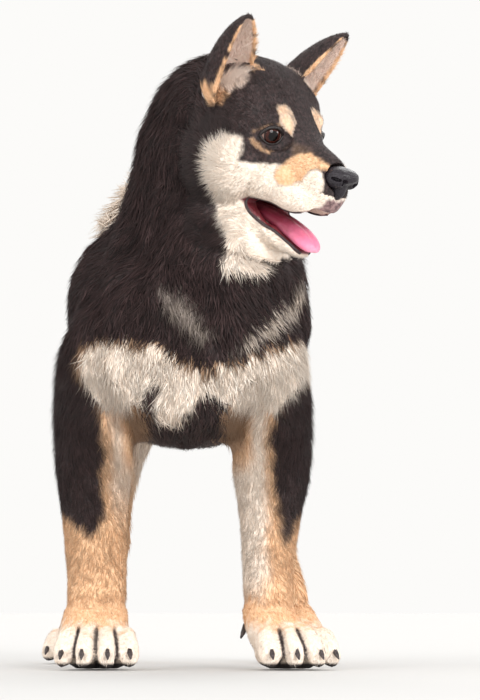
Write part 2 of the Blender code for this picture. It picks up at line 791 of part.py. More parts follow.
def leg_region(place, gap):
    """The space of one leg and its shoulder or thigh, smaller by gap all round."""
    kind, side = place.split("_")
    outline = FRONT_LEG_REGION if kind == "front" else HIND_LEG_REGION
    inside = LEG_REGION_INSIDE[kind] + gap
    low, high = (inside, LEG_REACH) if side == "left" else (-LEG_REACH, -inside)
    return plate("leg_region", inset(outline, gap), Vector((0, 0, 0)), Y_AXIS, Z_AXIS, low, high)


# Locks: the long coat's flat tapered tufts. Each ring of one is given by its share of the length,
# of the width and of the thickness, and by its rise above the coat as a share of the lift
LOCK_RINGS = [
    (0.00, 0.50, 1.00, -0.60),
    (0.34, 1.00, 1.00, 0.45),
    (0.70, 0.74, 0.80, 0.80),
    (1.00, 0.12, 0.35, 1.00),
]
LOCK_FLATNESS = 0.115
# How far out the place of a lock's root is looked for
SEED_REACH = 0.2


def surface_of(obj):
    """The surface of obj, for finding the nearest point on it or what crosses it."""
    bm = bmesh.new()
    bm.from_mesh(obj.data)
    tree = BVHTree.FromBMesh(bm)
    bm.free()
    return tree


def lock(root, normal, lie, size, lift, skin):
    """A lock that runs over the skin from its sunk root and rises to its tip."""
    length, width = size
    rings = []
    at, run = root, 0
    for along, wide, thick, rise in LOCK_RINGS:
        lie = (lie - normal * lie.dot(normal)).normalized()
        at, normal, _, _ = skin.find_nearest(at + lie * (length * (along - run)))
        run = along
        rings.append((at + normal * (lift * rise), width * LOCK_FLATNESS * thick, width / 2 * wide))
    return loft("lock", rings, sides=3, steps=1, lead=normal)


def coat(obj, seeds, neighbours, skin):
    """Fuses locks into obj, each bent over skin and cut clear of the neighbours.

    A seed is where to look for the root from, which way, the lie there, the lock's length and
    width, and its lift.
    """
    own = surface_of(obj)
    near = [swollen(other, 2 * GAP) for other in neighbours]
    locks = []
    for start, aim, lie, size, lift in seeds:
        root, normal, _, _ = own.ray_cast(start, aim)
        piece = lock(root, normal, lie, size, lift, skin)
        for other in near:
            if surface_of(other).overlap(surface_of(piece)):
                boolean(piece, [copy_of(other, "cutter")], "DIFFERENCE")
                keep_largest(piece)
        locks.append(piece)
    discard(*near)
    boolean(obj, locks, "UNION")
    return keep_largest(obj)


def spread(draw, direction, amount):
    return direction + Vector([draw.uniform(-amount, amount) for _ in range(3)])


# Tail: rings of the brush's outline along its curl, and where it is parted, as shares of them
TAIL_RINGS = [
    (Vector((0.000, 0.252, 0.280)), 0.020, 0.020),
    (Vector((0.000, 0.272, 0.312)), 0.0205, 0.0205),
    (Vector((-0.002, 0.284, 0.350)), 0.0230, 0.0230),
    (Vector((-0.006, 0.274, 0.382)), 0.0245, 0.0245),
    (Vector((-0.018, 0.245, 0.396)), 0.0250, 0.0250),
    (Vector((-0.038, 0.214, 0.382)), 0.0240, 0.0240),
    (Vector((-0.056, 0.198, 0.358)), 0.0205, 0.0205),
    (Vector((-0.070, 0.192, 0.340)), 0.0130, 0.0130),
    (Vector((-0.073, 0.191, 0.328)), 0.0050, 0.0050),
]
TAIL_CUTS = (0.36, 0.68)
# Its brush: turns of locks round a core that is thinner than the outline
TAIL_CORE = 0.50
BRUSH_START, BRUSH_END = 0.10, 0.92
BRUSH_FULL_RADIUS = 0.022
BRUSH_TURNS = 8
BRUSH_LOCKS_IN_TURN = 4
BRUSH_LOCK = (0.052, 0.0310)
BRUSH_LIFT = 0.0155
# The ruff: rows of locks round the neck, given by height and by angle from straight ahead
RUFF_ROWS = [
    (0.334, (-118, -88, -58, -28, 112, 136)),
    (0.304, (-72, -46, -20, 6)),
    (0.278, (-34, -6, 22, 50)),
]
NECK_MIDDLE = Vector((0.008, 0.010, 0))
RUFF_LOCK = (0.046, 0.0290)
RUFF_LIFT = 0.0062
# The forechest and brisket: locks on the torso, given by the place below and the height
CHEST_SEEDS = [(-0.052, 0.240), (-0.018, 0.246), (0.016, 0.244), (0.050, 0.240), (-0.002, 0.212)]
BRISKET_SEEDS = [(-0.013, -0.046), (0.009, -0.044), (-0.002, -0.024)]
CHEST_LOCK = (0.040, 0.0280)
CHEST_LIFT = 0.0060
BRISKET_LOCK = (0.034, 0.0200)
BRISKET_LIFT = 0.0075
# The breeches: locks down the back of each thigh, given by the distance from the middle and height
BREECHES_SEEDS = [(0.042, 0.234), (0.064, 0.218), (0.045, 0.196), (0.062, 0.174)]
BREECHES_LOCK = (0.044, 0.0240)
BREECHES_LIFT = 0.0090


def varied(draw, size, least=0.88, most=1.12):
    return tuple(value * draw.uniform(least, most) for value in size)


def brush_seeds(path):
    """Locks round the tail that point to its tip."""
    draw = random.Random(11)
    seeds = []
    for turn in range(BRUSH_TURNS):
        share = BRUSH_START + (BRUSH_END - BRUSH_START) * turn / (BRUSH_TURNS - 1)
        at = round(share * (len(path) - 1))
        centre, radius = path[at][0], path[at][1]
        along = (path[at + 1][0] - path[at - 1][0]).normalized()
        across = (X_AXIS - along * along.x).normalized()
        over = along.cross(across)
        slim = min(1.0, radius / BRUSH_FULL_RADIUS)
        count = BRUSH_LOCKS_IN_TURN if slim > 0.8 else BRUSH_LOCKS_IN_TURN - 1
        for j in range(count):
            angle = 2 * math.pi * (j + 0.5 * (turn % 2)) / count + draw.uniform(-0.15, 0.15)
            out = across * math.cos(angle) + over * math.sin(angle)
            length, width = varied(draw, BRUSH_LOCK)
            lie = spread(draw, along, 0.1)
            size = (length * slim, width * slim)
            seeds.append((centre + out * radius * 2, -out, lie, size, BRUSH_LIFT * slim))
    return seeds


def ruff_seeds():
    """Locks round the neck that hang down and back."""
    draw = random.Random(5)
    seeds = []
    for height, angles in RUFF_ROWS:
        for angle in angles:
            turn = math.radians(angle) + draw.uniform(-0.08, 0.08)
            out = Vector((math.sin(turn), -math.cos(turn), 0))
            start = NECK_MIDDLE + Z_AXIS * (height + draw.uniform(-0.004, 0.004)) + out * SEED_REACH
            lie = spread(draw, Vector((0, 0.35, -1)), 0.12)
            seeds.append((start, -out, lie, varied(draw, RUFF_LOCK), RUFF_LIFT))
    return seeds


def chest_seeds():
    """Locks that hang from the forechest, and from the brisket between the forelegs."""
    draw = random.Random(3)
    seeds = []
    for x, height in CHEST_SEEDS:
        lie = spread(draw, Vector((-x * 2, 0.1, -1)), 0.12)
        seeds.append((Vector((x, -SEED_REACH, height)), Y_AXIS, lie, varied(draw, CHEST_LOCK), CHEST_LIFT))
    for x, y in BRISKET_SEEDS:
        start = Vector((x, y, PAW_SPLIT_HEIGHT))
        lie = spread(draw, Vector((0, 1, -0.6)), 0.12)
        seeds.append((start, Z_AXIS, lie, varied(draw, BRISKET_LOCK), BRISKET_LIFT))
    return seeds


def breeches_seeds(side):
    """Locks that hang down the back of a thigh."""
    draw = random.Random(8)
    seeds = []
    for x, height in BREECHES_SEEDS:
        lie = spread(draw, Vector((0, 0.25, -1)), 0.12)
        lie.x *= side
        start = Vector((side * x, 2 * SEED_REACH, height))
        seeds.append((start, -Y_AXIS, lie, varied(draw, BREECHES_LOCK), BREECHES_LIFT))
    return seeds


def build_head():
    """Head, jaw, tongue, nose, eyes and ears."""
    flesh = fuse("head", head_forms() + neck_forms(), *HEAD_MESH)
    boolean(flesh, [head_plate("head_region", inset(HEAD_REGION, GAP / 2))], "INTERSECT")
    keep_largest(flesh)
    boolean(flesh, [orbit(side) for side in (1, -1)], "DIFFERENCE")
    boolean(flesh, [eye_ball(side, EYE_RADIUS + LID_THICKNESS) for side in (1, -1)], "UNION")
    tongue = loft("tongue", head_rings(TONGUE_RINGS), HEAD_LEFT, HEAD_UP, 12, 1, squareness=2.6)
    nose = fuse("nose", nose_forms(), *NOSE_MESH)
    cutters = [
        head_plate("mouth_cavity", MOUTH_CAVITY, -MOUTH_CAVITY_HALF_WIDTH, MOUTH_CAVITY_HALF_WIDTH),
        head_plate("lips_opening", LIPS_OPENING, MOUTH_CAVITY_HALF_WIDTH - GAP, HEAD_REACH),
        head_plate("lips_opening", LIPS_OPENING, -HEAD_REACH, GAP - MOUTH_CAVITY_HALF_WIDTH),
        swollen(tongue, 2 * GAP),
        swollen(nose, 2 * GAP),
    ]
    for side in (1, -1):
        cutters += [eye_ball(side, EYE_RADIUS + GAP), eye_opening(side)]
    boolean(flesh, cutters, "DIFFERENCE")
    jaw = copy_of(flesh, "jaw")
    boolean(jaw, [head_plate("jaw_region", inset(JAW_REGION, GAP / 2))], "INTERSECT")
    boolean(flesh, [head_plate("jaw_region", inset(JAW_REGION, -GAP / 2))], "DIFFERENCE")
    boolean(nose, nostrils(), "DIFFERENCE")
    node("head", keep_largest(flesh), "coat_black")
    node("jaw", keep_largest(jaw), "coat_cream")
    node("tongue", tongue, "tongue")
    node("nose", keep_largest(nose), "nose")
    for name, side in SIDES.items():
        node("eye_" + name, eye_ball(side, EYE_RADIUS), "eye")
        node("ear_" + name, clear_of(ear(side), [flesh]), "coat_black")


def build_body():
    """Neck, torso and legs, parted from one fused body, with their long coat."""
    forms = neck_forms() + [torso_form()] + head_forms() + [leg_form(place) for place in PAWS]
    flesh = fuse("body", forms, *BODY_MESH)
    skin = surface_of(flesh)
    boolean(flesh, [head_plate("head_region", inset(HEAD_REGION, -GAP / 2))], "DIFFERENCE")
    keep_largest(flesh)
    legs = {}
    for place in PAWS:
        leg = copy_of(flesh, "leg")
        boolean(leg, [leg_region(place, GAP / 2)], "INTERSECT")
        clip(leg, Vector((0, 0, PAW_SPLIT_HEIGHT + GAP / 2)), -Z_AXIS)
        legs[place] = keep_largest(leg)
    boolean(flesh, [leg_region(place, -GAP / 2) for place in PAWS], "DIFFERENCE")
    torso, neck = halves(keep_largest(flesh), *NECK_FOOT)
    front_legs = [legs["front_left"], legs["front_right"]]
    face = [bpy.data.objects["head"], bpy.data.objects["jaw"]]
    coat(torso, chest_seeds(), front_legs + [neck], skin)
    coat(neck, ruff_seeds(), front_legs + [torso] + face, skin)
    for name, side in SIDES.items():
        coat(legs["hind_" + name], breeches_seeds(side), [torso], skin)
    node("torso", torso, "coat_black")
    node("neck", neck, "coat_black")
    for place, leg in legs.items():
        kind, side = place.split("_")
        node(("foreleg_" if kind == "front" else "hindleg_") + side, leg, "coat_tan")


def build_paws():
    for place in PAWS:
        leg = clip(leg_form(place), Vector((0, 0, PAW_SPLIT_HEIGHT * 1.2)), Z_AXIS)
        paw = fuse("paw", paw_forms(place) + [leg], *PAW_MESH)
        clip(paw, Vector((0, 0, PAW_SPLIT_HEIGHT - GAP / 2)), Z_AXIS)
        clip(paw, Vector(), -Z_AXIS)
        node("paw_" + place, keep_largest(paw), "coat_cream")
        for toe in range(len(TOES)):
            node(f"claw_{place}_{toe + 1}", clear_of(claw(place, toe), [paw]), "claw")
    for name, side in SIDES.items():
        paw = bpy.data.objects["paw_front_" + name]
        node("dewclaw_" + name, clear_of(dewclaw(side), [paw]), "claw")


def build_tail():
    """The tail's core and brush, parted into three lengths."""
    core = [(centre, width * TAIL_CORE, height * TAIL_CORE) for centre, width, height in TAIL_RINGS]
    tail = loft("tail", core, sides=8, steps=2)
    body = [bpy.data.objects[name] for name in ("torso", "hindleg_left", "hindleg_right")]
    clear_of(tail, body[:1])
    # The last locks run on past the tail's end, along a guide that is longer than the core
    end = core[-1][0]
    beyond = (end - core[-2][0]).normalized() * BRUSH_LOCK[0]
    guide = loft("guide", core[:-1] + [(end, 0.005, 0.005), (end + beyond, 0.003, 0.003)], sides=8, steps=2)
    path = refine(TAIL_RINGS, 20)
    coat(tail, brush_seeds(path), body, surface_of(guide))
    discard(guide)
    for name, cut in zip(("tail_base", "tail_middle"), TAIL_CUTS):
        at = round(cut * (len(path) - 1))
        way = (path[at + 1][0] - path[at - 1][0]).normalized()
        done, tail = halves(tail, path[at][0], way)
        node(name, done, "coat_tan")
    node("tail_tip", tail, "coat_tan")


def stand_on_origin():
    """Moves the whole dog so that the origin is the middle of its box, on the floor."""
    points = np.array([v.co for obj in DOG.objects for v in obj.data.vertices])
    low, high = points.min(0), points.max(0)
    origin = bpy.data.objects.new("dog_origin", None)
    DOG.objects.link(origin)
    for obj in list(DOG.objects):
        if obj != origin:
            obj.parent = origin
    origin.location = (-(low[0] + high[0]) / 2, -(low[1] + high[1]) / 2, -low[2])


build_head()
build_body()
build_paws()
build_tail()
stand_on_origin()
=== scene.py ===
"""A young black and tan shiba inu, standing, with its head turned to its left and its mouth open.

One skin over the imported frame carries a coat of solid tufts. Sizes are in metres, +Z is up and
the dog faces -Y. Every random draw is seeded.
"""

import math

import bpy
import numpy as np
from mathutils import Matrix, Vector, bvhtree, kdtree


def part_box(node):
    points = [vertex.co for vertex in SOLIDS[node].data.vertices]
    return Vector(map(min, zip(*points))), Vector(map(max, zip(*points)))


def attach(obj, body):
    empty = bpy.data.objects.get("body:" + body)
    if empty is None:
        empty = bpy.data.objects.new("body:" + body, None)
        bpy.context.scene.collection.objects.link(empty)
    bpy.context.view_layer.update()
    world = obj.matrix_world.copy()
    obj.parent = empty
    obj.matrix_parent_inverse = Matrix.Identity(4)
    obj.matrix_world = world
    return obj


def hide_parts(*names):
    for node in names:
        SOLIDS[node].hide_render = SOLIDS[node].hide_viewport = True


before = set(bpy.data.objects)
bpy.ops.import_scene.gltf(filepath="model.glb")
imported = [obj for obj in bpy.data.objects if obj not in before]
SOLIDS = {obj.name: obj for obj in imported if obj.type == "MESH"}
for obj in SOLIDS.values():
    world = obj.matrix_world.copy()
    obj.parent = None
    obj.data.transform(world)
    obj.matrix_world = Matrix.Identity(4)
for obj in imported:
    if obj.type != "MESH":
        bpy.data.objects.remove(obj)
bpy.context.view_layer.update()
scene = bpy.context.scene


# The studio: a pale floor under a pale sky, with two wide soft lights in front of the dog, one
# behind it and a weak one low at its left. The camera is low and looks slightly up.
def paint(red, green, blue):
    """A colour as it is seen, from 0 to 255, turned into light."""
    return tuple(((value / 255 + 0.055) / 1.055) ** 2.4 for value in (red, green, blue)) + (1.0,)


def new_object(name, data):
    obj = bpy.data.objects.new(name, data)
    scene.collection.objects.link(obj)
    return obj


def new_mesh(name, points, faces):
    mesh = bpy.data.meshes.new(name)
    mesh.from_pydata([tuple(point) for point in points], [], faces)
    mesh.update()
    return mesh


class Wire:
    """A socket of a material that takes part in sums, so that a mask reads as arithmetic."""

    def __init__(self, tree, socket=None):
        self.tree = tree
        self.socket = socket

    def make(self, kind, settings, sockets, output=0):
        """Any node: first its settings, then a value or a wire for each of its sockets."""
        node = self.tree.nodes.new(kind)
        for name, value in settings.items():
            setattr(node, name, value)
        for name, value in sockets.items():
            if isinstance(value, Wire):
                self.tree.links.new(value.socket, node.inputs[name])
            else:
                node.inputs[name].default_value = value
        return Wire(self.tree, node.outputs[output])

    def sum(self, operation, first, second):
        return self.make("ShaderNodeMath", {"operation": operation}, {0: first, 1: second})

    def __add__(self, other):
        return self.sum("ADD", self, other)

    def __sub__(self, other):
        return self.sum("SUBTRACT", self, other)

    def __rsub__(self, other):
        return self.sum("SUBTRACT", other, self)

    def __mul__(self, other):
        return self.sum("MULTIPLY", self, other)

    __radd__ = __add__
    __rmul__ = __mul__

    def mix(self, low, high):
        """The colour low where this wire is 0 and high where it is 1: paints or wires."""
        low, high = (paint(*end) if isinstance(end, tuple) else end for end in (low, high))
        return self.make("ShaderNodeMix", {"data_type": "RGBA"}, {0: self, 6: low, 7: high}, 2)

    def between(self, low, high):
        """A soft step of this wire, from 0 at low to 1 at high."""
        sockets = {"Value": self, "From Min": low, "From Max": high}
        return self.make("ShaderNodeMapRange", {"interpolation_type": "SMOOTHSTEP"}, sockets)

    def mark(self, name):
        """A number that the mesh carries under that name."""
        return self.make("ShaderNodeAttribute", {"attribute_name": name}, {}, 2)

    def texture(self, kind, **sockets):
        """A texture over the object's own space."""
        place = self.make("ShaderNodeTexCoord", {}, {}, 3)
        return self.make(kind, {}, {"Vector": place, **sockets})

    def noise(self, scale, detail=2.0):
        return self.texture("ShaderNodeTexNoise", Scale=scale, Detail=detail)

    def cells(self, scale):
        """How far each place is from the middle of its cell."""
        return self.texture("ShaderNodeTexVoronoi", Scale=scale)

    def bump(self, height, depth, strength=1.0):
        sockets = {"Height": height, "Distance": depth, "Strength": strength}
        return self.make("ShaderNodeBump", {}, sockets)


def finish_of(name):
    """A new material, and a wire for making its nodes."""
    material = bpy.data.materials.new(name)
    material.use_nodes = True
    return material, Wire(material.node_tree)


def feed(wire, **inputs):
    """Sets the shader's sockets, with _ for a space: a wire is linked and a value is set."""
    for name, value in inputs.items():
        socket = wire.tree.nodes["Principled BSDF"].inputs[name.replace("_", " ")]
        if isinstance(value, Wire):
            wire.tree.links.new(value.socket, socket)
        else:
            socket.default_value = value


CAMERA_AT = (0.03795, -2.15183, 0.047)
CAMERA_LENS = 143.23
# The photograph's horizon and middle, as rows from its top, and its lens in the same pixels
HORIZON_ROW, MIDDLE_ROW, LENS_IN_PIXELS = 605, 350, 2785
CAMERA_RISE = math.atan((HORIZON_ROW - MIDDLE_ROW) / LENS_IN_PIXELS)
camera_data = bpy.data.cameras.new("camera")
camera_data.lens = CAMERA_LENS
camera_data.clip_start = 0.01
camera = new_object("camera", camera_data)
camera.location = CAMERA_AT
camera.rotation_euler = (math.pi / 2 + CAMERA_RISE, 0, 0)
scene.camera = camera

SOFT_LIGHTS = [
    # The way that it comes from, how wide it is in degrees, strength
    ((1.0, -2.1, 0.62), 30, 2.05),
    ((-1.4, -1.7, 0.45), 50, 1.15),
    ((0.2, 1.8, 1.65), 40, 1.05),
    ((1.0, 0.05, 0.17), 14, 0.60),
]
for number, (way, spread, strength) in enumerate(SOFT_LIGHTS):
    lamp_data = bpy.data.lights.new(f"soft_light_{number}", "SUN")
    lamp_data.angle = math.radians(spread)
    lamp_data.energy = strength
    lamp = new_object(f"soft_light_{number}", lamp_data)
    lamp.rotation_euler = Vector(way).to_track_quat("Z", "Y").to_euler()

world = bpy.data.worlds.new("sky")
world.use_nodes = True
sky = world.node_tree.nodes["Background"]
sky.inputs["Color"].default_value = paint(252, 251, 249)
scene.world = world
scene.view_settings.view_transform = "Standard"

edge = 14.0
floor_corners = [(-edge, -edge, 0), (edge, -edge, 0), (edge, edge, 0), (-edge, edge, 0)]
floor_mesh = new_mesh("floor", floor_corners, [(0, 1, 2, 3)])
floor = new_object("floor", floor_mesh)
floor_finish, wire = finish_of("floor")
colour = wire.noise(1.5).mix((208, 207, 206), (210, 209, 207))
feed(wire, Base_Color=colour, Roughness=0.9)
floor_mesh.materials.append(floor_finish)


# The skin: one closed hide over head, neck, body, legs, paws, tail and ears. It lies inside the
# frame's flesh by the depth of the coat, which is deep on the neck and body and thin on the face.
REGIONS = ["head", "jaw", "ear", "neck", "torso", "foreleg", "hindleg", "paw", "tail"]
FLESH = [name for name in SOLIDS if name.split("_")[0] in REGIONS]
HEAD_AHEAD = np.array((0.7206, -0.5835, -0.3746))
HEAD_LEFT = np.array((0.6437, 0.7637, 0.0485))
HEAD_UP = np.array((0.2578, -0.2761, 0.9259))
HEAD_AXES = np.array((HEAD_AHEAD, HEAD_LEFT, HEAD_UP))
EYES_AHEAD, EYES_UP = -0.0062, -0.0010
BODY_GRAIN, HEAD_GRAIN, PAW_GRAIN, EAR_GRAIN = 0.0026, 0.0012, 0.0013, 0.0010
CARVE = 0.006


def eye_at(name):
    low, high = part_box(name)
    return np.array((low + high) / 2)


HEAD_AT = (eye_at("eye_left") + eye_at("eye_right")) / 2
HEAD_AT = HEAD_AT - HEAD_AHEAD * EYES_AHEAD - HEAD_UP * EYES_UP


def in_head(places):
    """Places along the head's own axes, from the middle between the eyes: ahead, left and up."""
    return (places - HEAD_AT) @ HEAD_AXES.T


def from_head(places):
    return HEAD_AT + places @ HEAD_AXES


def unit(ways):
    return ways / np.maximum(np.linalg.norm(ways, axis=-1, keepdims=True), 1e-9)


def rows_of(items, field, columns=3, kind=np.float32):
    """A field of all of a mesh's items, such as their corners, with a row for each."""
    values = np.empty(len(items) * columns, kind)
    items.foreach_get(field, values)
    return values.reshape(-1, columns)


def points_of(mesh):
    return rows_of(mesh.vertices, "co").astype(float)


def normals_of(mesh):
    return rows_of(mesh.vertices, "normal").astype(float)


def set_points(mesh, points):
    mesh.vertices.foreach_set("co", points.astype(np.float32).ravel())
    mesh.update()


def new_piece(name, points, faces):
    mesh = new_mesh(name, points, faces)
    mesh.shade_smooth()
    return new_object(name, mesh)


def dress(piece, finish, slot, *nodes):
    """Gives a piece its material and its body, and hides any nodes that it stands for. The slot is
    not used.
    """
    piece.data.materials.append(finish)
    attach(piece, "root")
    if nodes:
        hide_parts(*nodes)


def modify(obj, kind, **settings):
    change = obj.modifiers.new(kind, kind)
    for name, value in settings.items():
        setattr(change, name, value)
    return obj


def settle(obj):
    """Applies the object's modifiers."""
    shaped = obj.evaluated_get(bpy.context.evaluated_depsgraph_get())
    mesh = bpy.data.meshes.new_from_object(shaped)
    obj.modifiers.clear()
    obj.data = mesh
    return obj


def remesh(obj, grain, smoothing):
    modify(obj, "REMESH", mode="VOXEL", voxel_size=grain)
    return settle(modify(obj, "SMOOTH", iterations=smoothing))


def copy_of_nodes(name, nodes, grain, smoothing):
    """The named CAD solids as one finer, smoother mesh."""
    points, faces, count = [], [], 0
    for node in nodes:
        mesh = SOLIDS[node].data
        points.append(points_of(mesh))
        faces += [[corner + count for corner in face.vertices] for face in mesh.polygons]
        count += len(mesh.vertices)
    obj = new_piece(name, np.vstack(points), faces)
    return remesh(settle(modify(obj, "WELD", merge_threshold=1e-6)), grain, smoothing)


def keep_largest(obj):
    """Keeps the mesh's biggest connected surface."""
    mesh = obj.data
    first, second = rows_of(mesh.edges, "vertices", 2, np.int32).T
    group = np.arange(len(mesh.vertices))
    while True:
        low = np.minimum(group[first], group[second])
        fresh = group.copy()
        np.minimum.at(fresh, first, low)
        np.minimum.at(fresh, second, low)
        fresh = fresh[fresh]
        if (fresh == group).all():
            break
        group = fresh
    keep = group == np.bincount(group).argmax()
    number = np.cumsum(keep) - 1
    faces = [[int(number[corner]) for corner in face.vertices]
             for face in mesh.polygons if keep[face.vertices[0]]]
    obj.data = new_mesh(obj.name, points_of(mesh)[keep], faces)
    return obj


def carve_inwards(obj, depth):
    """Takes the same depth off everywhere, so that locks and other thin forms vanish."""
    cloud = new_object("cloud", bpy.data.volumes.new("cloud"))
    modify(cloud, "MESH_TO_VOLUME", object=obj, resolution_mode="VOXEL_SIZE", voxel_size=BODY_GRAIN,
           interior_band_width=2 * depth)
    core = new_piece("core", [], [])
    settle(modify(core, "VOLUME_TO_MESH", object=cloud, threshold=0.5))
    bpy.data.objects.remove(cloud)
    bpy.data.objects.remove(obj)
    return core


# The coat's depth on the muzzle, its gain to the crown, its depth on the body, its loss down the
# legs and its depth on the paws, then the tops of legs and paws and the bottom of the head
FACE_DEPTH, CROWN_GAIN = 0.0007, 0.0018
BODY_DEPTH, LEG_LOSS, PAW_DEPTH = 0.0052, 0.0030, 0.0009
LEG_TOP, PAW_TOP, HEAD_BOTTOM = 0.215, 0.050, 0.28


def ramp(values, start, run):
    """From 0 at the start to 1 at the end of the run, which is below 0 where it goes downwards."""
    return np.clip((values - start) / run, 0, 1)


def coat_depth(points):
    """How deep the skin lies under the coat's outline."""
    ahead, _, up = in_head(points).T
    height = points[:, 2]
    face = FACE_DEPTH + CROWN_GAIN * ramp(ahead, -0.012, -0.055)
    leg = BODY_DEPTH - LEG_LOSS * ramp(height, LEG_TOP, -0.080)
    leg = leg - (leg - PAW_DEPTH) * ramp(height, PAW_TOP, -0.030)
    body = np.where(height < LEG_TOP, leg, BODY_DEPTH)
    neck = ramp(np.maximum(-0.046 - ahead, -0.060 - up), 0, 0.060)
    return face + (body - face) * np.where(height < HEAD_BOTTOM, 1, neck)


def inward(obj, already=0.0, extra=0.0):
    """Moves the surface in by the coat's depth, less what was carved off already."""
    points = points_of(obj.data)
    depth = coat_depth(points) + extra - already
    set_points(obj.data, points - normals_of(obj.data) * depth[:, None])
    return obj


EAR_BASE = (-0.046, 0.0390, 0.024)
EAR_TIP = (-0.0300, 0.0575, 0.0785)
EAR_HALF_WIDTH = 0.0205
EAR_TIP_HALF_WIDTH = 0.0022
EAR_DEPTH = 0.0205
EAR_WRAP = math.radians(98)
EAR_THICKNESS = 0.0024
EAR_ROOT = -0.42
EAR_SET_BACK = 0.32
EAR_FULLNESS, EAR_ROUNDNESS, EAR_ROOT_TAPER = 1.9, 0.72, 1.5
SIDES = {"left": 1, "right": -1}
# How far each ear's cup is turned outwards
EAR_TURN = {1: 0.36, -1: 0.12}


def ear_axes(side):
    """An ear's base, the rise from it to the tip, the way that its cup opens, and across it."""
    base, tip = (from_head((ahead, side * left, up)) for ahead, left, up in (EAR_BASE, EAR_TIP))
    rise = tip - base
    opening = HEAD_AHEAD + HEAD_LEFT * EAR_TURN[side]
    opening = unit(opening - unit(rise) * (opening @ unit(rise)))
    return base, rise, opening, np.cross(unit(rise), opening)


def ear_taper(share):
    """An ear's width at a share of its height, as a share of its greatest."""
    return (1 - share ** EAR_FULLNESS) ** EAR_ROUNDNESS


def ear_skin(side):
    """A deep cup with a rounded tip, rooted well inside the head."""
    base, rise, opening, across = ear_axes(side)
    columns, rows = 29, 37
    points = []
    for j in range(rows):
        share = EAR_ROOT + (1 - EAR_ROOT) * j / (rows - 1)
        taper = ear_taper(max(share, 0)) * (1 + EAR_ROOT_TAPER * min(share, 0))
        width = (EAR_HALF_WIDTH - EAR_TIP_HALF_WIDTH) * taper + EAR_TIP_HALF_WIDTH
        for i in range(columns):
            angle = (2 * i / (columns - 1) - 1) * EAR_WRAP
            back = math.cos(angle) * EAR_DEPTH * taper - EAR_DEPTH * EAR_SET_BACK
            points.append(base + rise * share + across * (math.sin(angle) * width) - opening * back)
    faces = [(j * columns + i, j * columns + i + 1, (j + 1) * columns + i + 1, (j + 1) * columns + i)
             for j in range(rows - 1) for i in range(columns - 1)]
    obj = new_piece("ear_skin", points, faces)
    return remesh(settle(modify(obj, "SOLIDIFY", thickness=EAR_THICKNESS, offset=0)), EAR_GRAIN, 3)


# The places of tail and paws were measured with the middle of the head here
SHIFT = HEAD_AT - np.array((0.0794, -0.0700, 0.3841))
TAIL_PATH = SHIFT + np.array([
    (0, 0.246, 0.268), (0, 0.254, 0.282), (0, 0.272, 0.312), (-0.002, 0.283, 0.350),
    (-0.006, 0.273, 0.380), (-0.018, 0.245, 0.394), (-0.038, 0.214, 0.381), (-0.056, 0.198, 0.358),
    (-0.068, 0.193, 0.343),
])
TAIL_STEPS = 8
TAIL_CORE = [0.013, 0.013, 0.013, 0.0135, 0.0135, 0.0130, 0.0115, 0.0085, 0.0030]
PAWS = {
    # Middle, turn outwards in degrees, size
    "front_left": ((0.0770, -0.018, 0), 20, 1.0),
    "front_right": ((-0.0640, -0.018, 0), 0, 1.0),
    "hind_left": ((0.0900, 0.207, 0), 8, 0.90),
    "hind_right": ((-0.0895, 0.207, 0), 8, 0.90),
}
TOE_GAPS = (-0.0140, 0.0, 0.0140)
TOE_GAP_WIDTH, TOE_GAP_DEPTH = 0.0017, 0.0030
# Where the gaps begin, ahead of the paw's middle, and how high they reach
TOE_GAP_BACK, TOE_GAP_TOP = 0.006, 0.031


def smooth_path(path, steps):
    """Points on a smooth line through the given ones."""
    path = np.array(path, float)
    ends = np.vstack([2 * path[0] - path[1], path, 2 * path[-1] - path[-2]])
    out = []
    for a, b, c, d in zip(ends, ends[1:], ends[2:], ends[3:]):
        for t in np.arange(steps) / steps:
            out.append(0.5 * (2 * b + (c - a) * t + (2 * a - 5 * b + 4 * c - d) * t**2
                              + (3 * b - a - 3 * c + d) * t**3))
    return np.array(out + [path[-1]])


def flatten(ways, facing):
    """The ways, turned to lie across the way that is faced."""
    return unit(ways - facing * np.sum(ways * facing, axis=1)[:, None])


def tube(name, path, widths, heights, over, sides=16, closed=False):
    """A rod along a path with its own half width and half height at each point."""
    count = len(path)
    widths, heights = np.broadcast_to(widths, count), np.broadcast_to(heights, count)
    ahead = np.roll(path, -1, 0) - np.roll(path, 1, 0) if closed else np.gradient(path, axis=0)
    ahead = unit(ahead)
    over = flatten(np.broadcast_to(over, path.shape), ahead)
    across = np.cross(ahead, over)
    angles = np.arange(sides) * 2 * math.pi / sides
    rings = (path[:, None] + across[:, None] * (np.cos(angles)[None, :, None] * widths[:, None, None])
             + over[:, None] * (np.sin(angles)[None, :, None] * heights[:, None, None]))
    faces = []
    for row in range(count if closed else count - 1):
        low, high = row * sides, (row + 1) % count * sides
        corners = zip(range(sides), [*range(1, sides), 0])
        faces += [(low + j, low + k, high + k, high + j) for j, k in corners]
    if not closed:
        faces += [tuple(range(sides))[::-1], tuple((count - 1) * sides + j for j in range(sides))]
    return new_piece(name, rings.reshape(-1, 3), faces)


def paw_place(points, place):
    """Places on a paw, out across it, ahead to the toes and up, at a front paw's size."""
    centre, turn, size = PAWS[place]
    sign = 1 if place.endswith("left") else -1
    turn = math.radians(turn)
    at = points - SHIFT - np.array(centre)
    out = at @ np.array((sign * math.cos(turn), math.sin(turn), 0))
    ahead = at @ np.array((sign * math.sin(turn), -math.cos(turn), 0))
    return out / size, ahead / size, points[:, 2] / size


def soft(distance, blur):
    """From 0 outside an edge to 1 inside it, over a blurred width."""
    return np.clip(distance / blur + 0.5, 0, 1)


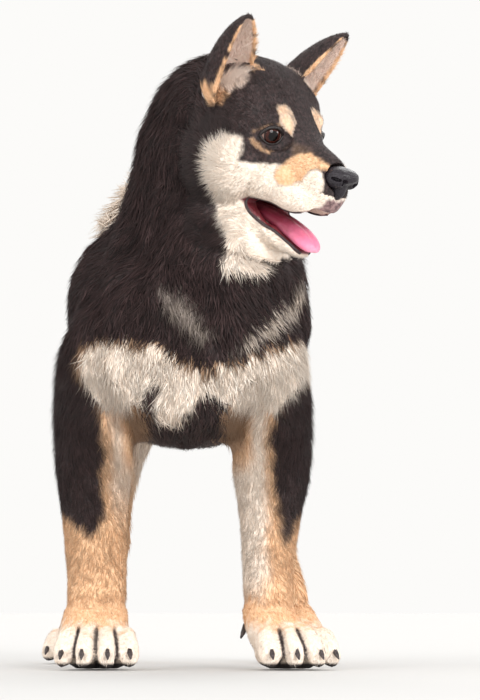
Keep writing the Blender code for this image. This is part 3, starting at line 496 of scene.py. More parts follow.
def toe_gap(points, place):
    """The grooves between a paw's toes, which spread ahead: 1 in their middles."""
    across, ahead, height = paw_place(points, place)
    spread = 0.8 + 12 * np.clip(ahead, 0, 0.03)
    gap = sum(np.exp(-((across - at * spread) / TOE_GAP_WIDTH) ** 2) for at in TOE_GAPS)
    return gap * soft(ahead - TOE_GAP_BACK, 0.012) * soft(TOE_GAP_TOP - height, 0.006)


tree = kdtree.KDTree(sum(len(SOLIDS[name].data.vertices) for name in FLESH))
owners = []
for name in FLESH:
    for point in points_of(SOLIDS[name].data):
        tree.insert(point, len(owners))
        owners.append(REGIONS.index(name.split("_")[0]))
tree.balance()


def region_of(points):
    """The part of the dog that each place belongs to, as its number in REGIONS."""
    return np.array([owners[tree.find(point)[1]] for point in points])


# How much deeper the coarse skin lies where finer ones cover it
UNDER_FACE, UNDER_PAWS = 0.0040, 0.0020
COARSE = [name for name in FLESH if name.split("_")[0] not in ("ear", "jaw")]
skin = keep_largest(copy_of_nodes("skin", COARSE, BODY_GRAIN, 2))
skin = keep_largest(carve_inwards(skin, CARVE))
points = points_of(skin.data)
beneath = UNDER_FACE * (region_of(points) <= REGIONS.index("ear"))
beneath += UNDER_PAWS * ramp(points[:, 2], 0.046, -0.006)
inward(skin, CARVE, beneath)
parts = [keep_largest(inward(copy_of_nodes("face_skin", ["head", "jaw"], HEAD_GRAIN, 4)))]
for place in PAWS:
    paw = keep_largest(inward(copy_of_nodes("paw_skin", ["paw_" + place], PAW_GRAIN, 3)))
    points = points_of(paw.data)
    groove = TOE_GAP_DEPTH * toe_gap(points, place)
    set_points(paw.data, points - normals_of(paw.data) * groove[:, None])
    parts.append(paw)
for side in SIDES.values():
    parts.append(keep_largest(ear_skin(side)))
tail_line = smooth_path(TAIL_PATH, TAIL_STEPS)
tail_widths = smooth_path([(width, 0, 0) for width in TAIL_CORE], TAIL_STEPS)[:, 0]
parts.append(tube("tail_skin", tail_line, tail_widths, tail_widths, (1, 0, 0)))
heap = bpy.data.collections.new("heap")
scene.collection.children.link(heap)
for part in parts:
    scene.collection.objects.unlink(part)
    heap.objects.link(part)
modify(skin, "BOOLEAN", solver="MANIFOLD", operation="UNION", operand_type="COLLECTION",
       collection=heap)
settle(skin)
for part in parts:
    bpy.data.objects.remove(part)
bpy.data.collections.remove(heap)
keep_largest(skin)
skin.data.shade_smooth()
skin.data.uv_layers.new(name="OFBake")
bpy.context.view_layer.objects.active = skin
skin.select_set(True)
bpy.ops.object.mode_set(mode="EDIT")
bpy.ops.mesh.select_all(action="SELECT")
bpy.ops.uv.smart_project(angle_limit=math.radians(70), island_margin=0.001)
bpy.ops.object.mode_set(mode="OBJECT")
skin.select_set(False)


# What the skin carries at each of its points: which part it belongs to, where the markings and the
# bare places are, and the way, length, width, lift and closeness of the hair that grows there.
def reach_inside(across, over, outline):
    """How far inside an outline, given in millimetres, each place is, and below 0 outside it."""
    across, over = across * 1000, over * 1000
    nearest = np.full(len(across), np.inf)
    inside = np.zeros(len(across), bool)
    for (ax, ay), (bx, by) in zip(outline, outline[1:] + outline[:1]):
        run = (bx - ax) ** 2 + (by - ay) ** 2
        share = np.clip(((across - ax) * (bx - ax) + (over - ay) * (by - ay)) / run, 0, 1)
        gap = np.hypot(across - ax - share * (bx - ax), over - ay - share * (by - ay))
        nearest = np.minimum(nearest, gap)
        rise = by - ay if by != ay else 1e-9
        inside ^= ((ay > over) != (by > over)) & (across < (bx - ax) * (over - ay) / rise + ax)
    return np.where(inside, nearest, -nearest) / 1000


def waves(places, pitch, seed):
    """Smooth made-up unevenness, from about -1 to 1, that repeats nowhere near."""
    draw = np.random.default_rng(seed)
    total = np.zeros(len(places))
    for _ in range(6):
        turns = places @ unit(draw.normal(size=3)) * (2 * math.pi / pitch)
        total += np.sin(turns * draw.uniform(0.6, 1.6) + draw.uniform(0, 7))
    return total / 2.4


mesh = skin.data
points = points_of(mesh)
normals = normals_of(mesh)
region = region_of(points)
is_in = {name: region == number for number, name in enumerate(REGIONS)}
on_head = is_in["head"] | is_in["jaw"]
foreleg, hindleg, paw = is_in["foreleg"], is_in["hindleg"], is_in["paw"]

# Outlines of the markings. Those of the face are side views along the head's ahead and up axes, and
# those of the chest and legs are front views across and up, all in millimetres.
CHEEK = [
    (-8, -24), (-8, -16), (-11, -9), (-17, -8), (-24, -10), (-29, -14), (-34, -21), (-34, -32),
    (-30, -42), (-26, -52), (-20, -68), (-10, -78), (-5, -89), (-2, -104), (6, -111), (12, -119),
    (16, -107), (15, -93), (17, -86), (31, -84), (50, -84), (70, -50), (60, -31), (54, -24),
    (50, -14), (38, -13), (30, -19), (17, -18), (8, -21), (0, -23),
]
MUZZLE_TAN = [
    (15, -28), (15, -20), (16, -15), (22, -7), (29, -5), (38, -8), (45, -8), (58, -6), (58, -9),
    (45, -13), (39, -14.5), (34, -18), (31, -25), (25, -31), (19, -33),
]
BROW = [
    (-3, 19), (-4, 21), (-2, 22), (2, 18), (6, 13), (10, 7), (11, 1), (8, 3), (5, 8), (2, 12),
    (-1, 16),
]
UNDER_EYE = [(-10, -7), (-7, -5), (-3, -8), (3, -10.5), (6, -11), (7, -14), (0, -13.5), (-6, -11)]
OVER_EYE = [(-11, -2), (-6, 3), (-1, 8), (5, 10), (6, 7), (1, 6), (-3, 1), (-9, -4)]
MOUTH = [
    (-9, -52), (-5, -48.4), (4, -48.0), (13, -49.3), (20, -50.8), (27, -50.8), (33, -49),
    (40, -46.8), (46, -45), (75, -46), (75, -92), (60, -84), (40, -77.5), (36, -75.2), (31, -72.4),
    (23, -69.4), (15, -66.4), (7, -64.4), (1, -61.8), (-3, -58.8), (-6.5, -55.5),
]
THROAT = [(-60, -48), (0, -49), (0, -62), (-60, -66)]
LIP_FRONT = [(46, -44), (51, -35), (55, -31), (72, -31), (72, -52), (50, -52)]
LONGER_HAIR = [(-20, -5), (-60, -10), (-60, -110), (0, -110), (-10, -70)]
CHEST_BARS = [
    [(-79, 218), (-75, 230), (-61, 238), (-46, 235), (-29, 232), (-10, 226), (-2, 217), (11, 212),
     (15, 198), (7, 193), (1, 185), (-10, 178), (-22, 178), (-23, 190), (-17, 206), (-29, 201),
     (-38, 190), (-51, 187), (-61, 191), (-72, 202)],
    [(8, 211), (31, 218), (52, 226), (73, 235), (99, 246), (99, 224), (87, 212), (77, 201), (63, 187),
     (31, 189), (22, 196), (8, 198)],
]
LEG_WEDGES = [
    [(-115, 225), (-74, 225), (-66, 190), (-61, 168), (-62, 138), (-62, 111), (-66, 100), (-73, 93),
     (-80, 103), (-93, 111), (-115, 135)],
    [(115, 225), (82, 205), (63, 184), (59, 168), (62, 138), (65, 113), (71, 90), (76, 99), (80, 108),
     (95, 122), (115, 150)],
]
CHEST_STREAK = [
    (-18, 271), (-4, 271), (4, 261), (11, 248), (18, 243), (11, 237), (3, 240), (-7, 250), (-13, 258),
]
NECK_STREAK = [
    (84, 290), (92, 290), (84, 272), (68, 252), (52, 238), (31, 227), (46, 242), (60, 256), (76, 274),
]

# Over how much the edge of a marking fades, on the face, by the eyes, on the chest and on the legs
FACE_BLUR, EYE_BLUR, CHEST_BLUR, LEG_BLUR = 0.005, 0.0030, 0.006, 0.014
BRIDGE_HALF_WIDTH, LIP_HALF_WIDTH, THROAT_HALF_WIDTH = 0.0125, 0.0135, 0.0150
ahead, left, up = in_head(points).T
sideways = np.abs(left)
x, y, z = points.T
from_middle = np.abs(x)
ragged = waves(points, 0.009, 3)
fine_ragged = waves(points, 0.0035, 5)


def face_mark(outline, blur):
    """A marking of the face, the same on both sides, as a share of its colour."""
    return soft(reach_inside(ahead, up, outline) + 0.0006 * ragged + 0.0004 * fine_ragged, blur)


def spot(middle, reach, blur):
    """A soft spot on each side of the head, round a place that is given along the head's axes."""
    away = np.linalg.norm((np.stack([ahead, sideways, up], 1) - middle) / reach, axis=1)
    return soft(1 - away + 0.12 * ragged, blur) * (on_head | is_in["ear"])


# The face: cream cheeks, muzzle and throat, which slants up to the dog's left, and a dark bridge
face = on_head | (is_in["neck"] & (z > 0.285))
throat_end = np.minimum(1.17 * left - 0.0935, -0.088)
bridge = soft(BRIDGE_HALF_WIDTH - sideways + 0.10 * (ahead - 0.030), 0.003) * (up > -0.030)
muzzle = face_mark(MUZZLE_TAN, FACE_BLUR) * on_head * (1 - 0.8 * soft(0.0085 - sideways, 0.003))
cheek = face_mark(CHEEK, FACE_BLUR) * face * soft(up - throat_end + 0.0015 * ragged, 0.008)
cheek *= (1 - bridge) * (1 - muzzle)
brow = face_mark(BROW, EYE_BLUR) * soft(sideways - 0.0105, 0.003)
brow = brow * soft(0.0265 - sideways, 0.003) * on_head
lids = np.maximum(face_mark(UNDER_EYE, EYE_BLUR), 0.8 * face_mark(OVER_EYE, EYE_BLUR))
lids *= on_head & (sideways >= 0.014)
ear_root = spot((-0.042, 0.052, 0.017), (0.011, 0.013, 0.009), 0.7)
ear_foot = spot((-0.036, 0.043, 0.032), (0.011, 0.015, 0.011), 0.5)
bridge_brown = spot((0.022, 0.014, -0.008), (0.018, 0.010, 0.009), 1.0)
in_mouth = reach_inside(ahead, up, MOUTH)
mouth = soft(in_mouth + 0.0008, 0.0012) * on_head
throat = (reach_inside(ahead, up, THROAT) > 0) * on_head * (sideways < THROAT_HALF_WIDTH)
mouth = np.maximum(mouth, throat)
lip_front = face_mark(LIP_FRONT, 0.002) * is_in["head"] * (sideways < LIP_HALF_WIDTH)
lip_rim = soft(in_mouth + 0.0022, 0.003) * (1 - mouth) * is_in["jaw"] * (sideways < 0.030)

# The chest's two pale bars, with a tan fringe above them, and the pale streaks over them
chest_reach = np.maximum.reduce([reach_inside(x, z, bar) for bar in CHEST_BARS]) + 0.0018 * ragged
chest_here = soft(-0.073 - y + 0.005 * ragged, 0.03)
chest_here = chest_here * (is_in["torso"] | is_in["neck"] | foreleg)
chest = soft(chest_reach, CHEST_BLUR) * chest_here
chest_fringe = soft(chest_reach + 0.0050, CHEST_BLUR) * chest_here * soft(z - 0.205, 0.02)
chest_streak = 0.65 * soft(reach_inside(x, z, CHEST_STREAK) + 0.0035 + 0.0018 * ragged, 0.012)
neck_streak = soft(reach_inside(x, z, NECK_STREAK) + 0.0015 + 0.001 * ragged, 0.006)
streak = np.maximum(chest_streak, neck_streak) * (soft(-0.078 - y + 0.004 * ragged, 0.02) * ~on_head)

# The legs: tan, black outside and above, cream inside, and painted shade at the top inside
black_leg = sum(soft(reach_inside(x, z, wedge) + 0.0015 * ragged, LEG_BLUR) for wedge in LEG_WEDGES)
black_leg = np.clip(black_leg, 0, 1)
back_of_leg = soft(y + 0.074, 0.012) * soft(z - 0.160, 0.05)
leg_tan = foreleg * (1 - np.maximum(black_leg, back_of_leg)) * soft(0.190 - z, 0.02)
left_cream = soft(0.060 - x + 0.002 * ragged, 0.016)
right_cream = 0.75 * soft(x + 0.062, 0.02) * soft(z - 0.11, 0.05)
leg_cream = foreleg * np.where(x > 0, left_cream, right_cream) * soft(z - 0.050, 0.04)
leg_cream = leg_cream * (1 - black_leg)
# Painted shade: the top of each foreleg's inner side, by the chest, turns a darker brown with less
# cream
armpit_shade = foreleg * soft(0.046 - from_middle, 0.010) * soft(z - 0.150, 0.02)
hind_edge = 0.004 * ragged
hind_dark = soft(from_middle - 0.062 + hind_edge - 0.3 * np.clip(0.13 - z, -0.1, 0.1), 0.02)
hind_dark *= soft(z - 0.105 + hind_edge, 0.02)
breeches = soft(y - 0.150 - 0.5 * (z - 0.2) + hind_edge, 0.02) * soft(0.262 - z, 0.02)
breeches *= soft(0.080 - from_middle, 0.015) * soft(z - 0.130 + hind_edge, 0.04)
hind_tan = hindleg * (1 - hind_dark)
hind_cream = hindleg * soft(0.050 - from_middle, 0.012)
rear = (hindleg | is_in["torso"]) * breeches

# The tail: black outside its curl, pale inside it and at its tip
on_tail = is_in["tail"]
nearest = np.argmin(np.linalg.norm(points[on_tail][:, None] - tail_line[None], axis=2), axis=1)
step = unit(np.gradient(tail_line, axis=0))
tail_share = np.zeros(len(points))
tail_share[on_tail] = nearest / len(tail_line)
curl_middle = SHIFT + (-0.030, 0.225, 0.345)
tail_inner = soft(0.041 - np.linalg.norm(points - curl_middle, axis=1) + 0.003 * ragged, 0.018)
tail_pale = on_tail * np.maximum(0.04 + 0.96 * tail_inner, soft(tail_share - 0.58, 0.2))

# The ears: pale inside their cups, with a tan edge
ear_inside, ear_edge, ear_share = np.zeros((3, len(points)))
ear_way = np.zeros_like(points)
for sign in SIDES.values():
    base, rise, opening, across = ear_axes(sign)
    own = is_in["ear"] & (left * sign > 0)
    share = (points - base) @ rise / (rise @ rise)
    taper = ear_taper(np.clip(share, 0, 0.999))
    apart = points - base - rise * share[:, None]
    cup_x = apart @ across / ((EAR_HALF_WIDTH - EAR_TIP_HALF_WIDTH) * taper + EAR_TIP_HALF_WIDTH)
    cup_y = (EAR_DEPTH * EAR_SET_BACK - apart @ opening) / (EAR_DEPTH * taper)
    angle = np.degrees(np.abs(np.arctan2(cup_x, cup_y)))
    radial = across * cup_x[:, None] - opening * cup_y[:, None]
    inner = soft(-np.sum(radial * normals, axis=1), 0.5)
    top = soft(0.93 - share, 0.05)
    ear_inside[own] = (inner * soft(88 - angle, 10) * top)[own]
    ear_edge[own] = (np.maximum(inner, soft(angle - 90, 6)) * soft(angle - 72, 12) * top)[own]
    ear_way[own] = unit(rise)
    ear_share[own] = share[own]

# The paws: cream toes that turn tan above, painted shade in the gaps between them, and dark pads
pads = paw * soft(0.0052 - z, 0.002)
paw_centres = np.array([PAWS[name][0][:2] for name in PAWS]) + SHIFT[:2]
paw_here = np.argmin(np.linalg.norm(points[:, None, :2] - paw_centres[None], axis=2), axis=1)
# Painted shade: cream and tan are darkened in the gaps between the toes
gap_shade = sum(toe_gap(points, name) * (paw_here == number) for number, name in enumerate(PAWS))
gap_shade = gap_shade * paw
paw_cream = np.clip(1 - soft(z - 0.031 + 0.003 * ragged, 0.018), 0.05, 1)
paw_cream = paw_cream * (1 - 0.3 * soft(ragged * fine_ragged - 0.2, 0.3))
paw_tan = paw * soft(z - 0.026 + 0.003 * ragged, 0.018)

cream = np.maximum.reduce([
    cheek, chest, 0.15 * lids, 0.75 * leg_cream * (1 - armpit_shade), 0.7 * hind_cream, 0.8 * ear_inside,
    0.8 * ear_foot, 0.66 * tail_pale, 0.5 * streak, 0.7 * rear])
cream = np.where(paw, paw_cream, cream) * (1 - gap_shade) * (1 - 0.7 * lip_rim)
cream[brow > 0.3] = 0.35
tan = np.maximum.reduce([
    0.85 * muzzle, 0.27 * bridge_brown, 0.75 * brow, 0.5 * lids, 0.7 * ear_root, 0.45 * chest_fringe,
    0.3 * streak, leg_tan * (1 - 0.6 * armpit_shade), 0.4 * armpit_shade, hind_tan,
    ear_edge * (0.62 + 0.3 * ragged), 0.5 * tail_pale, 0.6 * rear, paw_tan])
tan = np.maximum(tan * (1 - gap_shade), 0.7 * lip_rim)
pink = 0.42 * np.maximum(ear_inside * (1 + 0.3 * fine_ragged), 0.6 * ear_foot)
bare = np.maximum.reduce([mouth, lip_front, pads])

# The lie of the coat: down the chest, back along the body and head, up the ears and down the legs
outwards = 0.45 * (np.sign(x) * ramp(from_middle, 0, 0.06))
down = -np.ones_like(x)
flat = np.stack([outwards, np.full_like(x, 0.05), down], 1)
back = np.stack([np.zeros_like(x), np.ones_like(x), -0.35 - 0.4 * ramp(z, 0.27, -0.06)], 1)
rearward = ramp(y, -0.10, 0.07)[:, None]
way = flat * (1 - rearward) + back * rearward
neck_way = np.stack([outwards, 0.20 + 0.9 * ramp(y, -0.10, 0.08), down], 1)
way[is_in["neck"]] = neck_way[is_in["neck"]]
cheek_fall = ramp(up, -0.015, -0.03)[:, None]
head_way = -HEAD_AHEAD - HEAD_UP * (0.9 * cheek_fall) + HEAD_UP * (0.25 * (1 - cheek_fall))
way[on_head] = head_way[on_head]
way[is_in["jaw"]] = -HEAD_AHEAD - 0.25 * HEAD_UP
way[is_in["ear"]] = ear_way[is_in["ear"]]
for sign in SIDES.values():
    foot = on_head & (ear_foot > 0.25) & (left * sign > 0)
    way[foot] = unit(ear_axes(sign)[1]) + 0.3 * normals[foot]
for name, lie in {"foreleg": (0, 0.12, -1), "hindleg": (0, 0.35, -1), "paw": (0, -0.8, -0.6)}.items():
    way[is_in[name]] = lie
way[on_tail] = step[nearest] + 0.25 * normals[on_tail]

COAT = {
    # Length, width, lift of the tip, tufts on a square centimetre
    "head": (0.0058, 0.0007, 0.0008, 158),
    "jaw": (0.0042, 0.0007, 0.0005, 158),
    "ear": (0.0042, 0.0007, 0.0005, 125),
    "neck": (0.0200, 0.0011, 0.0036, 40),
    "torso": (0.0180, 0.0011, 0.0030, 31),
    "foreleg": (0.0075, 0.0009, 0.0011, 84),
    "hindleg": (0.0140, 0.0012, 0.0026, 24),
    "paw": (0.0034, 0.0008, 0.0004, 74),
    "tail": (0.0330, 0.0017, 0.0120, 92),
}
any_leg = foreleg | hindleg
GROWTH_CHANGES = [
    # Where, and what it adds there to the length, width and lift, as shares of them
    (np.maximum(ear_inside, 1.3 * ear_foot), (1.1, 0, 0)),
    (ear_inside, (0, 0, 1.5)),
    (ramp(ear_share, 0.7, 0.2), (-0.5, 0, 0)),
    (chest, (0, 0, -0.35)),
    (ramp(ahead, -0.040, 0.060) * is_in["head"], (-0.62, -0.30, -0.70)),
    (soft(reach_inside(ahead, up, LONGER_HAIR), 0.01) * on_head, (1.25, 0.4, 1.2)),
    (ramp(z, 0.085, -0.030) * any_leg, (-0.25, 0, -0.55)),
    (ramp(z, 0.12, 0.06) * foreleg, (0.8, 0, 1.7)),
]
growth = np.array([COAT[name] for name in REGIONS])[region]
for where, added in GROWTH_CHANGES:
    growth[:, :3] *= 1 + where[:, None] * added

first, second = rows_of(mesh.edges, "vertices", 2, np.int32).T
degree = np.bincount(first, minlength=len(points)) + np.bincount(second, minlength=len(points))


def even_out(values, rounds):
    """Spreads values over the skin, from each point to its neighbours."""
    for _ in range(rounds):
        pulled = [np.bincount(first, column[second], len(points))
                  + np.bincount(second, column[first], len(points)) for column in values.T]
        values = 0.4 * values + 0.6 * np.stack(pulled, 1) / degree[:, None]
    return values


# The front of the muzzle and the seams round head and paws are smoothed before hair grows there
muzzle_front = (soft(ahead - 0.040, 0.012) * on_head * (up < -0.014))[:, None]
points += muzzle_front * (even_out(points, 40) - points)
seams = even_out(np.stack([on_head, paw], 1).astype(float), 10)
seams = np.clip(6 * seams * (1 - seams), 0, 1).max(axis=1)[:, None]
points += seams * (even_out(points, 30) - points)
set_points(mesh, points)
normals = normals_of(mesh)

fields = even_out(np.hstack([unit(way), growth[:, :3], normals]), 40)
way, growth[:, :3], even_normals = fields[:, :3], fields[:, 3:6], unit(fields[:, 6:9])


def set_mark(mesh, name, values):
    mesh.attributes.new(name, "FLOAT", "POINT").data.foreach_set("value", values.astype(np.float32))


MARKS = {"cream": cream, "tan": tan, "pink": pink, "mouth": mouth, "lip": lip_front, "pad": pads}
for name, values in MARKS.items():
    set_mark(mesh, name, values)


def coat_colour(wire, shade):
    """The coat's colour from its markings: black, tan and cream, each uneven from tuft to tuft."""
    black = shade.mix((13, 8, 8), (82, 62, 61))
    tan = shade.mix((218, 166, 122), (250, 213, 174))
    cream = shade.mix((240, 220, 201), (255, 246, 235))
    colour = wire.mark("tan").between(0.15, 0.75).mix(black, tan)
    colour = wire.mark("cream").between(0.10, 0.80).mix(colour, cream)
    return wire.mark("pink").mix(colour, (212, 172, 160))


skin_finish, wire = finish_of("skin")
patches = wire.noise(420).between(0.35, 0.7)
colour = coat_colour(wire, patches * 0.5 + 0.1)
gum = wire.noise(300).mix((70, 18, 24), (134, 48, 58))
lip = wire.noise(350).between(0.3, 0.7).mix((92, 68, 70), (158, 128, 126))
pad = wire.noise(600).mix((24, 20, 21), (58, 50, 50))
for mark, bare_colour in (("mouth", gum), ("lip", lip), ("pad", pad)):
    colour = wire.mark(mark).mix(colour, bare_colour)
wet = wire.mark("mouth") + wire.mark("lip") * 0.5
feed(wire, Base_Color=colour, Roughness=0.75 - wet * 0.4,
     Normal=wire.bump(wire.noise(900, 4.0), 0.0006))
dress(skin, skin_finish, "coat_black", *FLESH)


# The coat: flat, tapered tufts of hair, rooted in the skin, that lie along the body and overlap.
# Short ones on the face, ears, legs and paws, long ones on the neck, body, breeches and tail.
# Each tuft's patch on the unwrap, how deep it is rooted, and how far hair keeps from the floor
PATCH = 0.003
ROOT_SINK, FLOOR_GAP = 0.0004, 0.0004
# Where along a tuft its rings and its tip are, by the number of rings past its root
PORTIONS = {0: [1.0], 1: [0.45, 1.0], 2: [0.32, 0.68, 1.0]}
ROOT_SPREAD, TIP_LOSS = 0.70, 0.35

mesh.calc_loop_triangles()
triangle_corners = rows_of(mesh.loop_triangles, "vertices", 3, np.int32)
unwrap = rows_of(mesh.uv_layers["OFBake"].data, "uv", 2)
triangle_places = unwrap[rows_of(mesh.loop_triangles, "loops", 3, np.int32)]
start, middle, end = points[triangle_corners].transpose(1, 0, 2)
areas = np.linalg.norm(np.cross(middle - start, end - start), axis=1) / 2
surface = bvhtree.BVHTree.FromPolygons(points.tolist(), triangle_corners.tolist())

coat_finish, wire = finish_of("coat")
# Each tuft's own random tone, plus painted shade at its root, where the tufts overlap, and a painted
# sheen towards its tip
shade = wire.mark("shade") * 0.8 + wire.mark("along") * 0.2
feed(wire, Base_Color=coat_colour(wire, shade), Roughness=0.7, Specular_IOR_Level=0.2,
     Sheen_Weight=0.03)


def lay_tufts(roots, facing, lies, length, lift, curve, portions):
    """Each tuft's middle at its root and portions, the ways across and over it, and its spread.

    A tuft of several portions follows the skin, and one of a single portion runs straight on.
    """
    at, heading, over = roots - facing * ROOT_SINK, lies, facing
    levels = [(at, np.cross(over, heading), over, ROOT_SPREAD)]
    before = 0.0
    for portion in portions:
        heading = flatten(heading + np.cross(over, heading) * (curve * portion)[:, None], over)
        at = at + heading * (length * (portion - before))[:, None]
        before = portion
        height = lift * portion ** 1.4 + 0.0002
        if len(portions) > 1:
            near = [surface.find_nearest(point) for point in at.tolist()]
            over = unit(np.array([hit[1] for hit in near]) + 0.6 * over)
            at = np.array([hit[0] for hit in near]) + over * height[:, None]
            heading = flatten(heading, over)
        else:
            at = at + over * (height + ROOT_SINK)[:, None]
        levels.append((at, np.cross(over, heading), over, 1.0 - TIP_LOSS * portion))
    return levels


def tuft_faces(rings):
    """The triangles of a tuft: its foot, the three sides between its rings, and its point."""
    faces = [(2, 1, 0)]
    for k in range(0, 3 * rings, 3):
        for i in range(3):
            j = (i + 1) % 3
            faces += [(k + i, k + j, k + 3 + j), (k + i, k + 3 + j, k + 3 + i)]
    k = 3 * rings
    return np.array(faces + [(k + i, k + (i + 1) % 3, k + 3) for i in range(3)], np.int32)


def triangle_mesh(name, points, corners):
    """A mesh of triangles, from its points and all the triangles' corners in a row."""
    made = bpy.data.meshes.new(name)
    made.vertices.add(len(points))
    made.vertices.foreach_set("co", points.astype(np.float32).ravel())
    made.loops.add(len(corners))
    made.loops.foreach_set("vertex_index", corners.astype(np.int32))
    made.polygons.add(len(corners) // 3)
    made.polygons.foreach_set("loop_start", np.arange(0, len(corners), 3, dtype=np.int32))
    made.update(calc_edges=True)
    made.shade_smooth()
    return made


def grow_coat(name, where, rings, seed, longer=1.0, share=1.0, mottle=1.0):
    """Tufts over the part of the skin where the mask is set, as one piece of the coat."""
    draw = np.random.default_rng(seed)
    chance = growth[:, 3] * where * (bare < 0.4)
    weight = areas * chance[triangle_corners].mean(axis=1) * 1e4 * share
    count = int(weight.sum())
    chosen = draw.choice(len(weight), count, p=weight / weight.sum())
    a, b = draw.random(count), draw.random(count)
    a, b = np.where(a + b > 1, 1 - a, a), np.where(a + b > 1, 1 - b, b)
    shares = np.stack([1 - a - b, a, b], 1)

    def at_roots(values):
        return np.einsum("ij,ij...->i...", shares, values[triangle_corners[chosen]])

    roots = at_roots(points)
    facing = unit(at_roots(even_normals))
    size = at_roots(growth[:, :3]) * draw.uniform(0.72, 1.22, (count, 1))
    length = size[:, 0] * longer
    lies = flatten(at_roots(way), facing)
    turn = 0.22 * draw.normal(size=count)
    turn += 0.28 * waves(roots, 0.045, 11) + 0.2 * waves(roots, 0.016, 12)
    lies = lies * np.cos(turn)[:, None] + np.cross(facing, lies) * np.sin(turn)[:, None]
    lift = size[:, 2] * draw.uniform(0.35, 1.5, count)
    curve = 0.12 * draw.normal(size=count)
    levels = lay_tufts(roots, facing, lies, length, lift, curve, PORTIONS[rings])
    width = size[:, 1] * draw.uniform(0.8, 1.2, count)
    crown_share = 0.24 if rings else 0.14
    rows = []
    for at, across, over, spread in levels[:-1]:
        half = across * (width * spread / 2)[:, None]
        rows += [at - half, at + half, at + over * (width * spread * crown_share)[:, None]]
    shape = np.stack(rows + [levels[-1][0]], 1)
    shape[:, :, 2] = np.maximum(shape[:, :, 2], FLOOR_GAP)
    per = shape.shape[1]
    corners = (tuft_faces(rings)[None] + (np.arange(count) * per)[:, None, None]).reshape(-1)
    tufts = triangle_mesh("coat_" + name, shape.reshape(-1, 3), corners)

    along = np.repeat([0.0] + PORTIONS[rings], [3] * (rings + 1) + [1])
    in_patch = np.stack([np.append(np.tile([-0.5, 0.5, 0.0], rings + 1), 0.0), along - 0.5], 1)
    root_places = np.einsum("ij,ijk->ik", shares, triangle_places[chosen])
    places = np.clip(root_places[:, None] + PATCH * in_patch[None], 0, 1).reshape(-1, 2)
    unwrap = tufts.uv_layers.new(name="OFBake")
    unwrap.data.foreach_set("uv", places[corners].astype(np.float32).ravel())
    middles = roots + lies * (0.42 * length)[:, None]
    under = triangle_corners[[surface.find_nearest(point)[2] for point in middles.tolist()]]
    for mark in ("cream", "tan", "pink"):
        set_mark(tufts, mark, np.repeat(MARKS[mark][under].mean(axis=1), per))
    tone = 0.42 + mottle * (0.24 * draw.normal(size=count) + 0.16 * waves(roots, 0.012, 14))
    set_mark(tufts, "shade", np.repeat(np.clip(tone, 0, 1), per))
    set_mark(tufts, "along", np.tile(along, count))
    dress(new_object(tufts.name, tufts), coat_finish, "coat_black")


to_left = x > 0
nape = on_head & (ahead <= -0.045)
grow_coat("head_left", is_in["head"] & ~nape & (left > 0), 0, 20, mottle=0.75)
grow_coat("head_right", is_in["head"] & ~nape & (left <= 0), 0, 21, mottle=0.75)
grow_coat("nape", nape, 1, 22, share=0.6, longer=1.4)
grow_coat("jaw", is_in["jaw"], 0, 23)
grow_coat("ears", is_in["ear"], 0, 24)
grow_coat("neck", is_in["neck"], 1, 25)
grow_coat("body_left", is_in["torso"] & to_left, 1, 26)
grow_coat("body_right", is_in["torso"] & ~to_left, 1, 27)
grow_coat("forelegs", foreleg, 0, 28, mottle=0.7)
grow_coat("hindleg_left", hindleg & to_left, 1, 30)
grow_coat("hindleg_right", hindleg & ~to_left, 1, 31)
grow_coat("paws", paw, 0, 32, mottle=0.7)
grow_coat("tail", is_in["tail"], 2, 33)


# The eyes: wet balls with a slightly bulging clear front, dark brown round a wide black pupil. They
# sit deep in their sockets, where the lids cover all but an almond of them.
EYE_RADIUS = 0.0105
EYE_BULGE = 0.05
EYE_TURN_OUT = math.radians(24)
EYE_TILT = math.radians(9)
# Measured in degrees from the middle of the pupil
PUPIL_EDGE, IRIS_EDGE = 19, 36
EYE_SIDES, EYE_RINGS = 48, 60


def eye_axes(side):
    """The way that an eye looks, then across it to the outer corner and over it to the upper lid."""
    look = HEAD_AHEAD * math.cos(EYE_TURN_OUT) + HEAD_LEFT * (side * math.sin(EYE_TURN_OUT))
    across = HEAD_LEFT * side - look * (HEAD_LEFT @ look * side)
    across = Matrix.Rotation(-side * EYE_TILT, 3, Vector(look)) @ Vector(across).normalized()
    return look, np.array(across), np.cross(look, across) * side


eye_finish, wire = finish_of("eye")
angle = wire.mark("angle")
fibres = wire.noise(1400, 3.0).between(0.35, 0.7)
iris = fibres.mix((30, 12, 9), (78, 35, 26))
iris = angle.between(IRIS_EDGE - 7, IRIS_EDGE).mix(iris, (18, 10, 10))
colour = angle.between(PUPIL_EDGE, PUPIL_EDGE + 3).mix((4, 3, 4), iris)
white = wire.noise(500).mix((120, 84, 76), (168, 140, 130))
colour = angle.between(IRIS_EDGE, IRIS_EDGE + 5).mix(colour, white)
feed(wire, Base_Color=colour, Roughness=0.12, Specular_IOR_Level=0.3)
for name, side in SIDES.items():
    middle = eye_at("eye_" + name)
    look, across, over = eye_axes(side)
    turns = np.radians(np.linspace(1, 179, EYE_RINGS))
    bulge = EYE_BULGE * np.clip(1 - (np.degrees(turns) / IRIS_EDGE) ** 2, 0, 1)
    reach = EYE_RADIUS * (1 + bulge)
    path = middle + look * (reach * np.cos(turns))[:, None]
    girth = reach * np.sin(turns)
    ball = tube("eyeball_" + name, path, girth, girth, over, sides=EYE_SIDES)
    set_mark(ball.data, "angle", np.repeat(np.degrees(turns), EYE_SIDES))
    dress(ball, eye_finish, "eye", "eye_" + name)


